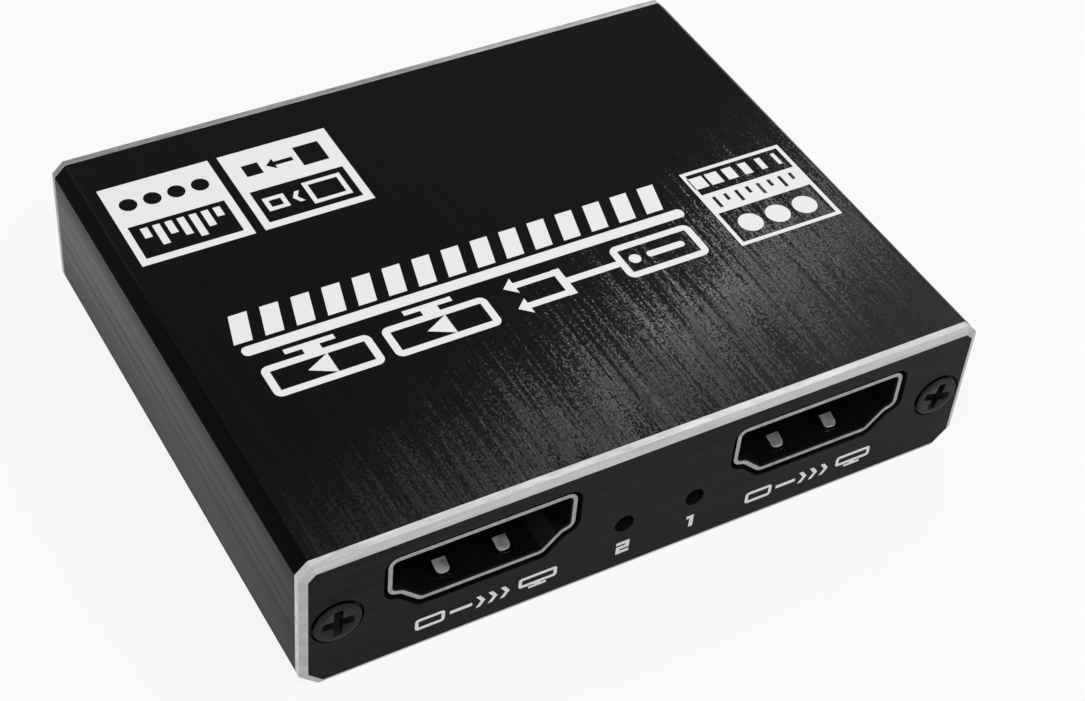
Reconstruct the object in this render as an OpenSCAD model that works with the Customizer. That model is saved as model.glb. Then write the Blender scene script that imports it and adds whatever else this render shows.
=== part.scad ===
// Two-output video splitter box: an extruded metal sleeve closed by two screwed end plates.
// Inside, a board in the sleeve's grooves carries three video sockets, a power socket,
// a mode switch with four slides, indicator lights and the electronics.
// Millimetres. +Z is up, +Y points to the rear, and the origin is the centre of the base.

/* [Case] */
// Width over the side walls
case_w = 57; // [54:0.5:70]
// Depth over the outer faces of both end plates
case_d = 47; // [45:0.5:60]
// Height from the base to the top face
case_h = 12.9; // [12.6:0.1:18]
// Thickness of the sleeve's walls
wall = 1.3; // [1:0.1:1.6]
// Chamfer of the two upper long edges
top_chamfer = 0.95; // [0.5:0.05:1.4]
// Chamfer of the two lower long edges
base_chamfer = 1.5; // [0.5:0.05:1.8]
// Chamfer of the cavity's corners
cavity_chamfer = 0.6; // [0.2:0.1:1]
// Thickness of the end plates
plate_t = 0.9; // [0.9:0.05:1.6]
// Depth of the bevel round the outer face of the end plates
plate_bevel = 0.3; // [0.2:0.05:0.6]
// Width of that bevel, across the outer face
bevel_w = 0.6; // [0.2:0.05:0.7]

/* [Screws] */
// Distance of the screw axes from the side faces
screw_inset = 2.8; // [2.6:0.1:3.6]
// Diameter of the screw thread
screw_d = 1.9; // [1.6:0.1:2.2]
// Diameter of the countersunk head
screw_head_d = 3.7; // [3.4:0.1:3.9]
// Height of the head's rim above the plate
screw_rim = 0.15; // [0.1:0.05:0.3]
// Length of the screw below the plate's outer face
screw_len = 6; // [4:0.5:10]
// Width over the cross recess
cross_w = 2.6; // [1.8:0.1:2.8]
// Width of one arm of the cross recess
cross_arm = 0.7; // [0.4:0.05:0.8]
// Depth of the cross recess
cross_depth = 0.75; // [0.5:0.05:0.9]
// Wall of the screw channel round its bore
channel_wall = 0.8; // [0.6:0.1:1]

/* [Board] */
// Thickness of the board
board_t = 1.2; // [1:0.1:1.6]
// Width of the rails under the board
rail_w = 1.6; // [1:0.1:2]
// Thickness of the rails under the board
rail_t = 0.9; // [0.6:0.1:1.1]

/* [Video sockets] */
// Distance between the two output sockets
output_spacing = 28.6; // [26:0.2:30]
// Place of the input socket, to the right as the rear is faced
input_x = 14.3; // [13:0.1:15.5]
// Height of the socket centres above the middle of the case
port_z = 1.5; // [1:0.1:1.7]
// Height of the socket centres above the board
port_rise = 3.2; // [2.9:0.05:3.3]
// Outside width of the socket shell
port_w = 15; // [14.6:0.1:15.4]
// Outside height of the socket shell
port_h = 5.4; // [5.2:0.05:5.6]
// Height of the shell's straight sides
port_side = 3.6; // [3.3:0.05:3.8]
// Outside width of the shell's foot
port_foot = 9.9; // [9.4:0.1:10.4]
// Depth of the socket shell
port_depth = 10.2; // [9.6:0.1:11.2]
// Sheet thickness of the socket shell
shell_t = 0.45; // [0.3:0.05:0.5]
// Recess of the sockets behind the plate's outer face
port_recess = 0.15; // [0.1:0.05:0.6]
// Gap between a socket shell and its cut-out
port_gap = 0.35; // [0.2:0.05:0.5]
// Width of one spring finger
spring_w = 1.1; // [0.6:0.05:1.2]
// Distance between the two spring fingers of one wall
spring_spacing = 4.9; // [4:0.1:6]
// Height of a spring finger's crest above the shell wall
spring_rise = 0.5; // [0.2:0.05:0.6]
// Width of the insulator's tongue
tongue_w = 10.8; // [10.5:0.1:11.4]
// Thickness of the insulator's tongue
tongue_t = 1.1; // [0.9:0.05:1.3]
// Recess of the tongue behind the shell's mouth
tongue_recess = 2.3; // [1.8:0.1:3]
// Width of one contact
contact_w = 0.3; // [0.2:0.02:0.36]
// Thickness of one contact
contact_t = 0.15; // [0.1:0.01:0.2]

/* [Lights] */
// Place of the light of output 1, to the right as the front is faced
light_1_x = 3.6; // [3:0.1:4.4]
// Place of the light of output 2, to the right as the front is faced
light_2_x = -2.5; // [-3.4:0.1:-2]
// Place of the power light, to the right as the rear is faced
power_light_x = -10.4; // [-11:0.1:-9.8]
// Diameter of the light holes
light_hole_d = 1.6; // [1.2:0.1:2]
// Height of a light above the board
light_h = 0.9; // [0.8:0.05:1.2]

/* [Power socket] */
// Place of the power socket, to the right as the rear is faced
power_x = -17.2; // [-18:0.1:-16.6]
// Outside width of the power socket shell
power_w = 7.5; // [7.2:0.1:7.9]
// Outside height of the power socket shell
power_h = 2.6; // [2.4:0.05:3]
// Depth of the power socket shell
power_depth = 5.4; // [5:0.1:6.4]

/* [Mode switch] */
// Place of the mode switch, to the right as the rear is faced
switch_x = -1.6; // [-2:0.1:-1]
// Distance between neighbouring slides
switch_pitch = 2.54; // [2.2:0.02:2.6]
// Height of the switch above the board
switch_h = 6; // [5.8:0.1:6.4]
// Depth of the switch behind its cover
switch_depth = 5; // [4.4:0.1:6]
// Recess of the cover behind the plate's outer face
switch_recess = 0.85; // [0.75:0.05:0.95]
// Gap between the switch and its window
window_gap = 0.25; // [0.15:0.05:0.4]
// Travel of one slide
slide_travel = 1.4; // [1:0.1:1.6]
// Height that a slide's knob stands out of the cover
knob_out = 0.65; // [0.3:0.05:0.7]
// Width of a slide's knob
knob_w = 1.1; // [0.8:0.05:1.3]
// Height of a slide's knob
knob_h = 1.4; // [1:0.1:1.6]

/* [Electronics] */
// Side of the splitter chip under the board
chip_w = 12; // [9:0.5:13]
// Thickness of the splitter chip
chip_t = 0.9; // [0.7:0.05:1.2]
// Side of the thermal pad
pad_w = 13; // [10:0.5:14]
// Side of the controller chip
controller_w = 6; // [4:0.5:7]
// Side of the inductor
inductor_w = 4; // [3:0.2:4.4]
// Height of the inductor
inductor_h = 2; // [1.2:0.1:3]

/* [Hidden] */
$fn = 48;

// Finishes
anodised = "#1c1d20";
plated = "#b9bcc0";
gilt = "#c9a04a";
black_plastic = "#17181a";
board_mask = "#16191a";
ceramic_tan = "#b08a5a";

// Clearances
slip = 0.05;
side_gap = 0.2;
sink_gap = 0.15;
seat_gap = 0.2;
leg_gap = 0.15;
slide_gap = 0.1;
overcut = 1;

// Places along the depth, for an end that is faced from outside
face_y = -case_d / 2;
sleeve_y = face_y + plate_t;
board_y = sleeve_y + side_gap;
port_y = face_y + port_recess;
switch_y = face_y + switch_recess;
power_y = face_y + plate_t / 2;

// Heights
port_level = case_h / 2 + port_z;
board_top = port_level - port_rise;
board_base = board_top - board_t;
slot_top = board_top + slip;
slot_base = board_base - slip;
light_z = board_top + light_h / 2;
screw_z = case_h / 2;
leg_out = 0.5;
leg_base = board_base - leg_out;

// Widths
cavity_w = case_w - 2 * wall;
board_w = cavity_w - 2 * side_gap;
screw_x = case_w / 2 - screw_inset;
output_x = output_spacing / 2;

// Screws and their channels
screw_r = screw_d / 2;
bore_r = screw_r + slip;
channel_r = bore_r + channel_wall;
channel_slit = 0.7;
head_r = screw_head_d / 2;
head_edge = 0.08;
head_depth = head_r - screw_r;
tip_len = 0.8;
plate_hole_r = screw_r + sink_gap;
sink_r = head_r + sink_gap;
seat_r = head_r + seat_gap;
seat_depth = 0.35;

// Socket shells
port_ledge = 1;
port_drop = 0.3;
port_corner = 0.8;
power_side = 1.3;
power_foot_cut = 1.3;
power_corner = 0.4;
corner_steps = 5;
min_radius = 0.05;

// Spring fingers, measured inwards from the mouth of the shell
spring_tip = 1.05;
spring_crest = 2.15;
spring_root = 5.25;
spring_t = 0.25;
spring_gap = 0.2;

// Shell legs, measured inwards from the mouth of the shell
leg_places = [2.4, 8];
leg_w = 1.2;
power_leg_places = [1.7, 3.6];
power_leg_w = 0.8;
power_shell_t = 0.3;

// Insulators and contacts
block_gap = 0.7;
block_y = spring_root + block_gap;
tongue_z = 0.3;
groove = 0.1;
upper_contacts = 10;
lower_contacts = 9;
contact_pitch = 1;
contact_foot = 0.9;
contact_lead = 0.5;
tail_y = port_depth + contact_t + contact_foot;
power_contact_count = 5;
power_contact_pitch = 0.65;
power_tongue_w = 3.9;
power_tongue_t = 0.6;
power_tongue_recess = 1;
power_block_y = 3.6;
power_contact_w = 0.3;
power_rise = power_h / 2 + slip;
power_gap = 0.4;

// Mode switch, measured inwards from its cover and upwards from the board
slide_count = 4;
cover_t = 0.6;
switch_side = 0.8;
switch_w = slide_count * switch_pitch + 2 * switch_side;
rib_t = 0.4;
cell_w = switch_pitch - rib_t;
cell_depth = 1.8;
slide_w = cell_w - 2 * slide_gap;
knob_shoulder = 0.5;
slide_h = knob_h + 2 * knob_shoulder;
slide_t = 0.8;
cell_h = slide_h + slide_travel + 2 * slide_gap;
cell_base = (switch_h - cell_h) / 2;
slide_base = cell_base + slide_gap;
slide_y = cover_t + slide_gap;
slot_w = knob_w + 2 * slide_gap;
knob_base = slide_base + (slide_h - knob_h) / 2;
wiper_t = 0.15;
wiper_w = 0.7;
wiper_bow = 0.3;
pad_t = 0.2;
pin_w = 0.5;
pin_t = 0.25;
pin_inset = 0.5;
pin_row_gap = 1.27;
pin_levels = [cell_base + pin_inset, cell_base + cell_h - pin_inset - pin_t];
pin_rows = [switch_depth + cover_t, switch_depth + cover_t + pin_row_gap];
pin_hole_r = pin_w / 2 + leg_gap;

// Lights
light_w = 1.8;
light_d = 0.9;
lens_r = 0.35;
lens_out = 0.12;

// Electronics: places are shares of the board's half width and half depth
board_half = [board_w / 2, -board_y];
controller_t = 0.85;
controller_place = [-0.333, 0.09];
memory_size = [4.9, 3.9, 1.4];
memory_leads = [4, 1.27, 0.4];
memory_place = [0.037, 0.18];
crystal_size = [3.2, 2.5, 0.8];
crystal_step = 0.2;
crystal_place = [-0.11, -0.157];
step_down_size = [2.9, 1.6, 1];
step_down_leads = [3, 0.95, 0.4];
step_down_place = [0.389, 0.2];
inductor_corner = 0.7;
inductor_diagonal = (inductor_w - inductor_corner) * sqrt(2);
inductor_place = [0.593, 0.2];
linear_size = [6.5, 3.5, 1.5];
linear_leads = [3, 2.3, 0.7];
linear_tab = [1, 1, 3];
linear_place = [0.426, -0.09];
bulk_size = [3.4, 2.8, 1.9];
bulk_place = [0.778, 0.2];
bulk_spacing = 5.5;
bulk_band = 1.6;
chip_stand = 0.1;
pin_mark = 1;
lead_t = 0.2;
lead_reach = 1;
ceramic_size = [1, 0.5, 0.5];
ceramic_pitch = 1.5;
ceramic_count = 7;
ceramic_gap = 0.8;
resistor_size = [0.5, 1, 0.35];
resistor_count = 8;
resistor_pitch = 1.25;
surge_size = [2.5, 1, 0.5];
surge_offset = 2.4;
row_gap = 0.5;
surge_y = tail_y + row_gap;
resistor_y = surge_y + surge_size.y + row_gap;

// Direction of a vector
function unit(v) = v / norm(v);

// Outline moved inwards by d, for points that run anticlockwise
function inset(points, d) = [
    for (i = [0 : len(points) - 1])
        let (
            here = points[i],
            u = unit(here - points[(i + len(points) - 1) % len(points)]),
            v = unit(points[(i + 1) % len(points)] - here),
            n1 = [-u.y, u.x],
            n2 = [-v.y, v.x]
        )
        here + d * (n1 + n2) / (1 + n1 * n2)
];

// Arc that rounds the corner at here with radius r
function corner_arc(before, here, after, r) =
    let (
        u = unit(before - here),
        v = unit(after - here),
        half = acos(u * v) / 2,
        centre = here + unit(u + v) * r / sin(half),
        from = here + u * r / tan(half) - centre,
        to = here + v * r / tan(half) - centre,
        start = atan2(from.y, from.x),
        turn = (atan2(to.y, to.x) - start + 540) % 360 - 180
    )
    [for (k = [0 : corner_steps]) centre + r * [cos(start + turn * k / corner_steps),
                                                sin(start + turn * k / corner_steps)]];

// Outline with each corner rounded to its own radius
function rounded(points, radii) = [
    for (i = [0 : len(points) - 1])
        each corner_arc(points[(i + len(points) - 1) % len(points)], points[i],
                        points[(i + 1) % len(points)], radii[i])
];

// Corners of the video socket shell, wide side up
function port_corners() =
    let (side_z = port_h / 2 - port_side, ledge_x = port_w / 2 - port_ledge)
    [
        [port_w / 2, port_h / 2],
        [-port_w / 2, port_h / 2],
        [-port_w / 2, side_z],
        [-ledge_x, side_z - port_drop],
        [-port_foot / 2, -port_h / 2],
        [port_foot / 2, -port_h / 2],
        [ledge_x, side_z - port_drop],
        [port_w / 2, side_z]
    ];

// Corners of the power socket shell, wide side up
function power_corners() =
    let (side_z = power_h / 2 - power_side, foot_x = power_w / 2 - power_foot_cut)
    [
        [power_w / 2, power_h / 2],
        [-power_w / 2, power_h / 2],
        [-power_w / 2, side_z],
        [-foot_x, -power_h / 2],
        [foot_x, -power_h / 2],
        [power_w / 2, side_z]
    ];

// Radius of a corner after the outline has moved inwards by d, where turn is -1 for a hollow corner
function moved_radius(r, turn, d) = max(r - turn * d, min_radius);

// Rounded outlines of the two socket shells, moved inwards by d
function port_outline(d) = rounded(
    inset(port_corners(), d),
    [for (turn = [1, 1, 1, -1, 1, 1, -1, 1]) moved_radius(port_corner, turn, d)]
);
function power_outline(d) = rounded(
    inset(power_corners(), d),
    [for (corner = power_corners()) moved_radius(power_corner, 1, d)]
);

// Outline of a chamfered box section, from its lower left corner anticlockwise
function section(w, base, top, lower, upper) = [
    [-w / 2 + lower, base],
    [w / 2 - lower, base],
    [w / 2, base + lower],
    [w / 2, top - upper],
    [w / 2 - upper, top],
    [-w / 2 + upper, top],
    [-w / 2, top - upper],
    [-w / 2, base + lower]
];

case_section = section(case_w, 0, case_h, base_chamfer, top_chamfer);
cavity_section = section(cavity_w, wall, case_h - wall, cavity_chamfer, cavity_chamfer);

// An outline in X and Z, drawn out along Y
module along_y(from, to) {
    translate([0, to, 0]) rotate([90, 0, 0]) linear_extrude(to - from) children();
}

// An outline in Y and Z, drawn out along X
module along_x(from, to) {
    translate([from, 0, 0]) rotate([90, 0, 90]) linear_extrude(to - from) children();
}

// A round bar along Y
module bar_y(r, from, to) {
    translate([0, from, 0]) rotate([-90, 0, 0]) cylinder(r = r, h = to - from);
}

// A block centred on X and Y that stands on its base
module block(size) {
    translate([-size.x / 2, -size.y / 2, 0]) cube(size);
}

// Turns what faces the front so that it faces the rear
module at_rear() {
    rotate([0, 0, 180]) children();
}

// The shape and its mirror image across the middle
module both_sides() {
    children();
    mirror([1, 0, 0]) children();
}

// Sleeve
module channel_section() {
    difference() {
        union() {
            translate([screw_x, screw_z]) circle(channel_r);
            translate([screw_x, screw_z - channel_r])
                square([case_w / 2 - wall / 2 - screw_x, 2 * channel_r]);
        }
        translate([screw_x, screw_z]) circle(bore_r);
        translate([screw_x - 2 * channel_r, screw_z - channel_slit / 2])
            square([2 * channel_r, channel_slit]);
    }
}

module rail_section() {
    translate([cavity_w / 2 - rail_w, slot_base - rail_t]) square([rail_w + wall / 2, rail_t]);
}

module sleeve() {
    color(anodised) along_y(sleeve_y, -sleeve_y) {
        difference() {
            polygon(case_section);
            polygon(cavity_section);
        }
        difference() {
            both_sides() {
                channel_section();
                rail_section();
            }
            translate([-cavity_w / 2, slot_base]) square([cavity_w, slot_top - slot_base]);
        }
    }
}

// End plates
module bevel_cut(from, to) {
    span = to - from;
    reach = 2 * norm([plate_bevel, bevel_w]);
    translate([from.x, face_y + plate_bevel, from.y])
        rotate([0, -atan2(span.y, span.x), 0])
            rotate([-atan2(bevel_w, plate_bevel), 0, 0])
                translate([-overcut, -reach, -overcut])
                    cube([norm(span) + 2 * overcut, 2 * reach, overcut]);
}

module screw_hole() {
    translate([screw_x, 0, screw_z]) {
        bar_y(plate_hole_r, face_y - overcut, sleeve_y + overcut);
        translate([0, face_y, 0]) rotate([-90, 0, 0])
            cylinder(r1 = sink_r, r2 = plate_hole_r, h = sink_r - plate_hole_r);
        bar_y(seat_r, face_y - overcut, face_y + seat_depth);
    }
}

module light_hole(x) {
    translate([x, 0, light_z]) bar_y(light_hole_d / 2, face_y - overcut, sleeve_y + overcut);
}

module port_cut(x) {
    translate([x, 0, port_level]) along_y(face_y - overcut, sleeve_y + overcut)
        polygon(port_outline(-port_gap));
}

module plate_blank() {
    difference() {
        along_y(face_y, sleeve_y) polygon(case_section);
        for (i = [0 : len(case_section) - 1])
            bevel_cut(case_section[i], case_section[(i + 1) % len(case_section)]);
        both_sides() screw_hole();
    }
}

module front_plate() {
    color(anodised) difference() {
        plate_blank();
        port_cut(output_x);
        port_cut(-output_x);
        light_hole(light_1_x);
        light_hole(light_2_x);
    }
}

module rear_plate() {
    color(anodised) at_rear() difference() {
        plate_blank();
        port_cut(input_x);
        light_hole(power_light_x);
        translate([power_x, 0, board_top + power_rise])
            along_y(face_y - overcut, sleeve_y + overcut)
                polygon(power_outline(-power_gap));
        translate([switch_x, 0, board_top + switch_h / 2])
            along_y(face_y - overcut, sleeve_y + overcut)
                square([switch_w + 2 * window_gap, switch_h + 2 * window_gap], center = true);
    }
}

// Screws
module cross_recess() {
    intersection() {
        translate([0, 0, -screw_rim - slip])
            cylinder(r1 = cross_w / 2 + slip, r2 = cross_arm / 2, h = cross_depth + slip);
        for (turn = [0, 90])
            rotate(turn)
                translate([-cross_w, -cross_arm / 2, -screw_rim - overcut])
                    cube([2 * cross_w, cross_arm, cross_depth + overcut]);
    }
}

module screw() {
    translate([screw_x, face_y, screw_z]) rotate([-90, 0, 0]) difference() {
        rotate_extrude() polygon([
            [0, -screw_rim],
            [head_r - head_edge, -screw_rim],
            [head_r, -screw_rim + head_edge],
            [head_r, 0],
            [screw_r, head_depth],
            [screw_r, screw_len - tip_len],
            [screw_r / 2, screw_len],
            [0, screw_len]
        ]);
        cross_recess();
    }
}

module front_screws() {
    color(black_plastic) both_sides() screw();
}

module rear_screws() {
    color(black_plastic) at_rear() both_sides() screw();
}

// Circuit board
module leg_slots(half_w, thick, places, width) {
    both_sides()
        for (y = places)
            translate([half_w - thick - leg_gap, y - leg_gap, board_base - overcut])
                cube([thick + 2 * leg_gap, width + 2 * leg_gap, board_t + 2 * overcut]);
}

module port_slots(x) {
    translate([x, port_y, 0]) leg_slots(port_w / 2, shell_t, leg_places, leg_w);
}

module circuit_board() {
    color(board_mask) difference() {
        translate([-board_w / 2, board_y, board_base]) cube([board_w, -2 * board_y, board_t]);
        port_slots(output_x);
        port_slots(-output_x);
        at_rear() {
            port_slots(input_x);
            translate([power_x, power_y, 0])
                leg_slots(power_w / 2, power_shell_t, power_leg_places, power_leg_w);
            for (row = pin_rows, i = [1 : slide_count])
                translate([slide_x(i), switch_y + row + pin_t / 2, board_base - overcut])
                    cylinder(r = pin_hole_r, h = board_t + 2 * overcut);
        }
    }
}

// Video sockets, drawn at the mouth of the shell with +Y inwards
module spring_profile() {
    inner = -port_h / 2 + shell_t;
    polygon([
        [spring_tip, inner - spring_t / 2],
        [spring_crest, inner + spring_rise - spring_t],
        [spring_root + spring_gap, inner - spring_t],
        [spring_root + spring_gap, inner],
        [spring_root, inner],
        [spring_crest, inner + spring_rise],
        [spring_tip, inner + spring_t / 2]
    ]);
}

module spring_pair() {
    for (x = [-spring_spacing / 2, spring_spacing / 2])
        along_x(x - spring_w / 2, x + spring_w / 2) spring_profile();
}

module spring_windows() {
    for (x = [-spring_spacing / 2, spring_spacing / 2])
        translate([x - spring_w / 2 - spring_gap, spring_tip - spring_gap, -port_h / 2 - overcut])
            cube([spring_w + 2 * spring_gap, spring_root - spring_tip + spring_gap, overcut + 2 * shell_t]);
}

module shell_legs(half_w, thick, from_z, to_z, places, width) {
    both_sides()
        for (y = places)
            translate([half_w - thick, y, to_z]) cube([thick, width, from_z - to_z]);
}

module port_shell() {
    color(plated) {
        difference() {
            along_y(0, port_depth) polygon(port_outline(0));
            along_y(-overcut, port_depth + overcut) polygon(port_outline(shell_t));
            spring_windows();
            rotate([0, 180, 0]) spring_windows();
        }
        spring_pair();
        rotate([0, 180, 0]) spring_pair();
        shell_legs(port_w / 2, shell_t, port_h / 2 - port_corner, leg_base - port_level, leg_places, leg_w);
    }
}

module contact_rows(gap) {
    for (i = [0 : upper_contacts - 1])
        translate([(i - (upper_contacts - 1) / 2) * contact_pitch, 0, 0])
            contact(tongue_z + tongue_t / 2 - groove, gap);
    for (i = [0 : lower_contacts - 1])
        translate([(i - (lower_contacts - 1) / 2) * contact_pitch, 0, 0])
            contact(tongue_z - tongue_t / 2 + groove - contact_t, gap);
}

// One contact: a blade along the tongue, a riser down the insulator's back and a foot on the board
module contact(blade_z, gap) {
    front = tongue_recess + contact_lead;
    riser = port_depth + contact_t;
    along_x(-contact_w / 2 - gap, contact_w / 2 + gap) polygon([
        [front - gap, blade_z - gap],
        [port_depth, blade_z - gap],
        [port_depth, -port_rise],
        [riser + contact_foot, -port_rise],
        [riser + contact_foot, -port_rise + contact_t],
        [riser, -port_rise + contact_t],
        [riser, blade_z + contact_t + gap],
        [front - gap, blade_z + contact_t + gap]
    ]);
}

module port_contacts() {
    color(gilt) contact_rows(0);
}

module port_insulator() {
    color(black_plastic) difference() {
        union() {
            along_y(block_y, port_depth) polygon(port_outline(shell_t + slip));
            translate([-tongue_w / 2, tongue_recess, tongue_z - tongue_t / 2])
                cube([tongue_w, block_y - tongue_recess + slip, tongue_t]);
        }
        contact_rows(slip / 2);
    }
}

module at_output(x) {
    translate([x, port_y, port_level]) children();
}

module at_input() {
    at_rear() translate([input_x, port_y, port_level]) children();
}

module output_1_shell() { at_output(output_x) port_shell(); }
module output_1_insulator() { at_output(output_x) port_insulator(); }
module output_1_contacts() { at_output(output_x) port_contacts(); }
module output_2_shell() { at_output(-output_x) port_shell(); }
module output_2_insulator() { at_output(-output_x) port_insulator(); }
module output_2_contacts() { at_output(-output_x) port_contacts(); }
module input_shell() { at_input() port_shell(); }
module input_insulator() { at_input() port_insulator(); }
module input_contacts() { at_input() port_contacts(); }

// Power socket
module at_power() {
    at_rear() translate([power_x, power_y, board_top + power_rise]) children();
}

module power_shell() {
    color(plated) at_power() {
        difference() {
            along_y(0, power_depth) polygon(power_outline(0));
            along_y(-overcut, power_depth + overcut) polygon(power_outline(power_shell_t));
        }
        shell_legs(power_w / 2, power_shell_t, power_h / 2 - power_corner, leg_base - board_top - power_rise,
                   power_leg_places, power_leg_w);
    }
}

module power_contact_row(gap) {
    low = -power_tongue_t / 2;
    front = power_tongue_recess + contact_lead;
    riser = power_depth + contact_t;
    for (i = [0 : power_contact_count - 1])
        translate([(i - (power_contact_count - 1) / 2) * power_contact_pitch, 0, 0])
            along_x(-power_contact_w / 2 - gap, power_contact_w / 2 + gap) polygon([
                [front - gap, low - gap],
                [power_depth, low - gap],
                [power_depth, -power_rise],
                [riser + contact_foot, -power_rise],
                [riser + contact_foot, -power_rise + contact_t],
                [riser, -power_rise + contact_t],
                [riser, low + contact_t + gap],
                [front - gap, low + contact_t + gap]
            ]);
}

module power_contacts() {
    color(gilt) at_power() power_contact_row(0);
}

module power_insulator() {
    color(black_plastic) at_power() difference() {
        union() {
            along_y(power_block_y, power_depth)
                polygon(power_outline(power_shell_t + slip));
            translate([-power_tongue_w / 2, power_tongue_recess, -power_tongue_t / 2])
                cube([power_tongue_w, power_block_y - power_tongue_recess + slip, power_tongue_t]);
        }
        power_contact_row(slip / 2);
    }
}

// Mode switch
function slide_x(i) = switch_x + (i - (slide_count + 1) / 2) * switch_pitch;

module at_slide(i) {
    at_rear() translate([slide_x(i), switch_y, board_top]) children();
}

module switch_cover() {
    color(black_plastic) difference() {
        at_rear() translate([switch_x, switch_y + cover_t / 2, board_top])
            block([switch_w, cover_t, switch_h]);
        for (i = [1 : slide_count])
            at_slide(i)
                translate([-slot_w / 2, -overcut, knob_base - slide_gap])
                    cube([slot_w, cover_t + 2 * overcut, knob_h + slide_travel + 2 * slide_gap]);
    }
}

// Pins of one slide: a pad in the cell, a bar through the body and a leg into the board
module slide_pins(gap) {
    for (k = [0, 1])
        translate([-pin_w / 2 - gap, 0, 0]) {
            translate([0, cover_t + cell_depth - pad_t, pin_levels[k] - gap])
                cube([pin_w + 2 * gap, pin_rows[k] + pin_t - cover_t - cell_depth + pad_t, pin_t + 2 * gap]);
            translate([0, pin_rows[k], leg_base - board_top])
                cube([pin_w + 2 * gap, pin_t, pin_levels[k] + pin_t - leg_base + board_top]);
        }
}

module switch_body() {
    color(black_plastic) difference() {
        at_rear() translate([switch_x, switch_y + cover_t + switch_depth / 2, board_top])
            block([switch_w, switch_depth, switch_h]);
        for (i = [1 : slide_count])
            at_slide(i) {
                translate([-cell_w / 2, cover_t - overcut, cell_base])
                    cube([cell_w, cell_depth + overcut, cell_h]);
                slide_pins(slip / 2);
            }
    }
}

module switch_contacts() {
    color(gilt)
        for (i = [1 : slide_count])
            at_slide(i) slide_pins(0);
}

module slider(i) {
    color("#e8e8e4") at_slide(i) {
        translate([-slide_w / 2, slide_y, slide_base]) cube([slide_w, slide_t, slide_h]);
        translate([-knob_w / 2, -knob_out, knob_base]) cube([knob_w, knob_out + slide_y + slip, knob_h]);
    }
}

// A bowed strip on the back of a slide
module wiper(i) {
    back = slide_y + slide_t;
    low = slide_base + slide_gap;
    high = slide_base + slide_h - slide_gap;
    middle = (low + high) / 2;
    color(gilt) at_slide(i) along_x(-wiper_w / 2, wiper_w / 2) polygon([
        [back, low],
        [back + wiper_t, low],
        [back + wiper_bow + wiper_t, middle],
        [back + wiper_t, high],
        [back, high],
        [back + wiper_bow, middle]
    ]);
}

module slider_1() { slider(1); }
module slider_2() { slider(2); }
module slider_3() { slider(3); }
module slider_4() { slider(4); }
module wiper_1() { wiper(1); }
module wiper_2() { wiper(2); }
module wiper_3() { wiper(3); }
module wiper_4() { wiper(4); }

// Lights
module light(x, shade) {
    color(shade) translate([x, board_y, board_top]) {
        translate([0, light_d / 2, 0]) block([light_w, light_d, light_h]);
        translate([0, 0, light_h / 2]) bar_y(lens_r, -lens_out, light_d / 2);
    }
}

module output_1_light() { light(light_1_x, "#dfeae0"); }
module output_2_light() { light(light_2_x, "#dfeae0"); }
module power_light() { at_rear() light(power_light_x, "#f0dede"); }

// Electronics
module on_board(place, lift = 0) {
    translate([place.x * board_half.x, place.y * board_half.y, board_top + lift]) children();
}

// A flat chip with one corner cut to mark its first pin
module marked_chip(w, t) {
    linear_extrude(t) polygon([
        [-w / 2 + pin_mark, -w / 2],
        [w / 2, -w / 2],
        [w / 2, w / 2],
        [-w / 2, w / 2],
        [-w / 2, -w / 2 + pin_mark]
    ]);
}

module splitter_chip() {
    color(black_plastic) translate([0, 0, board_base - chip_t]) marked_chip(chip_w, chip_t);
}

module thermal_pad() {
    color("#8fa6b8") translate([0, 0, wall]) block([pad_w, pad_w, board_base - chip_t - wall]);
}

module controller_chip() {
    color(black_plastic) on_board(controller_place) marked_chip(controller_w, controller_t);
}

module memory_chip() {
    color(black_plastic) on_board(memory_place, chip_stand) block(memory_size);
}

module crystal() {
    color(plated) on_board(crystal_place) {
        block([crystal_size.x, crystal_size.y, crystal_size.z / 2]);
        block([crystal_size.x - 2 * crystal_step, crystal_size.y - 2 * crystal_step, crystal_size.z]);
    }
}

module inductor() {
    color("#4a4a4e") on_board(inductor_place) intersection() {
        block([inductor_w, inductor_w, inductor_h]);
        rotate(45) block([inductor_diagonal, inductor_diagonal, inductor_h]);
    }
}

module step_down_regulator() {
    color(black_plastic) on_board(step_down_place, chip_stand) block(step_down_size);
}

module linear_regulator() {
    color(black_plastic) on_board(linear_place, chip_stand) block(linear_size);
}

// Gull-wing leads along one long side of a chip
module lead_row(size, leads) {
    count = leads[0];
    pitch = leads[1];
    width = leads[2];
    shoulder = chip_stand + size.z / 2;
    for (i = [0 : count - 1])
        translate([(i - (count - 1) / 2) * pitch, size.y / 2, 0])
            along_x(-width / 2, width / 2) polygon([
                [0, shoulder],
                [lead_reach / 3, shoulder],
                [lead_reach / 2, 0],
                [lead_reach, 0],
                [lead_reach, lead_t],
                [lead_reach / 2 + lead_t, lead_t],
                [lead_reach / 3 + lead_t, shoulder + lead_t],
                [0, shoulder + lead_t]
            ]);
}

module chip_leads() {
    color(plated) {
        for (turn = [0, 180]) {
            on_board(memory_place) rotate(turn) lead_row(memory_size, memory_leads);
            on_board(step_down_place) rotate(turn) lead_row(step_down_size, step_down_leads);
        }
        on_board(linear_place) {
            lead_row(linear_size, linear_tab);
            rotate(180) lead_row(linear_size, linear_leads);
        }
    }
}

module bulk_capacitors() {
    color("#c2872f")
        for (y = [0, -bulk_spacing])
            on_board(bulk_place) translate([0, y, 0]) {
                block(bulk_size);
                block([bulk_size.x + 2 * lead_t, bulk_band, bulk_size.z / 2]);
            }
}

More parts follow.
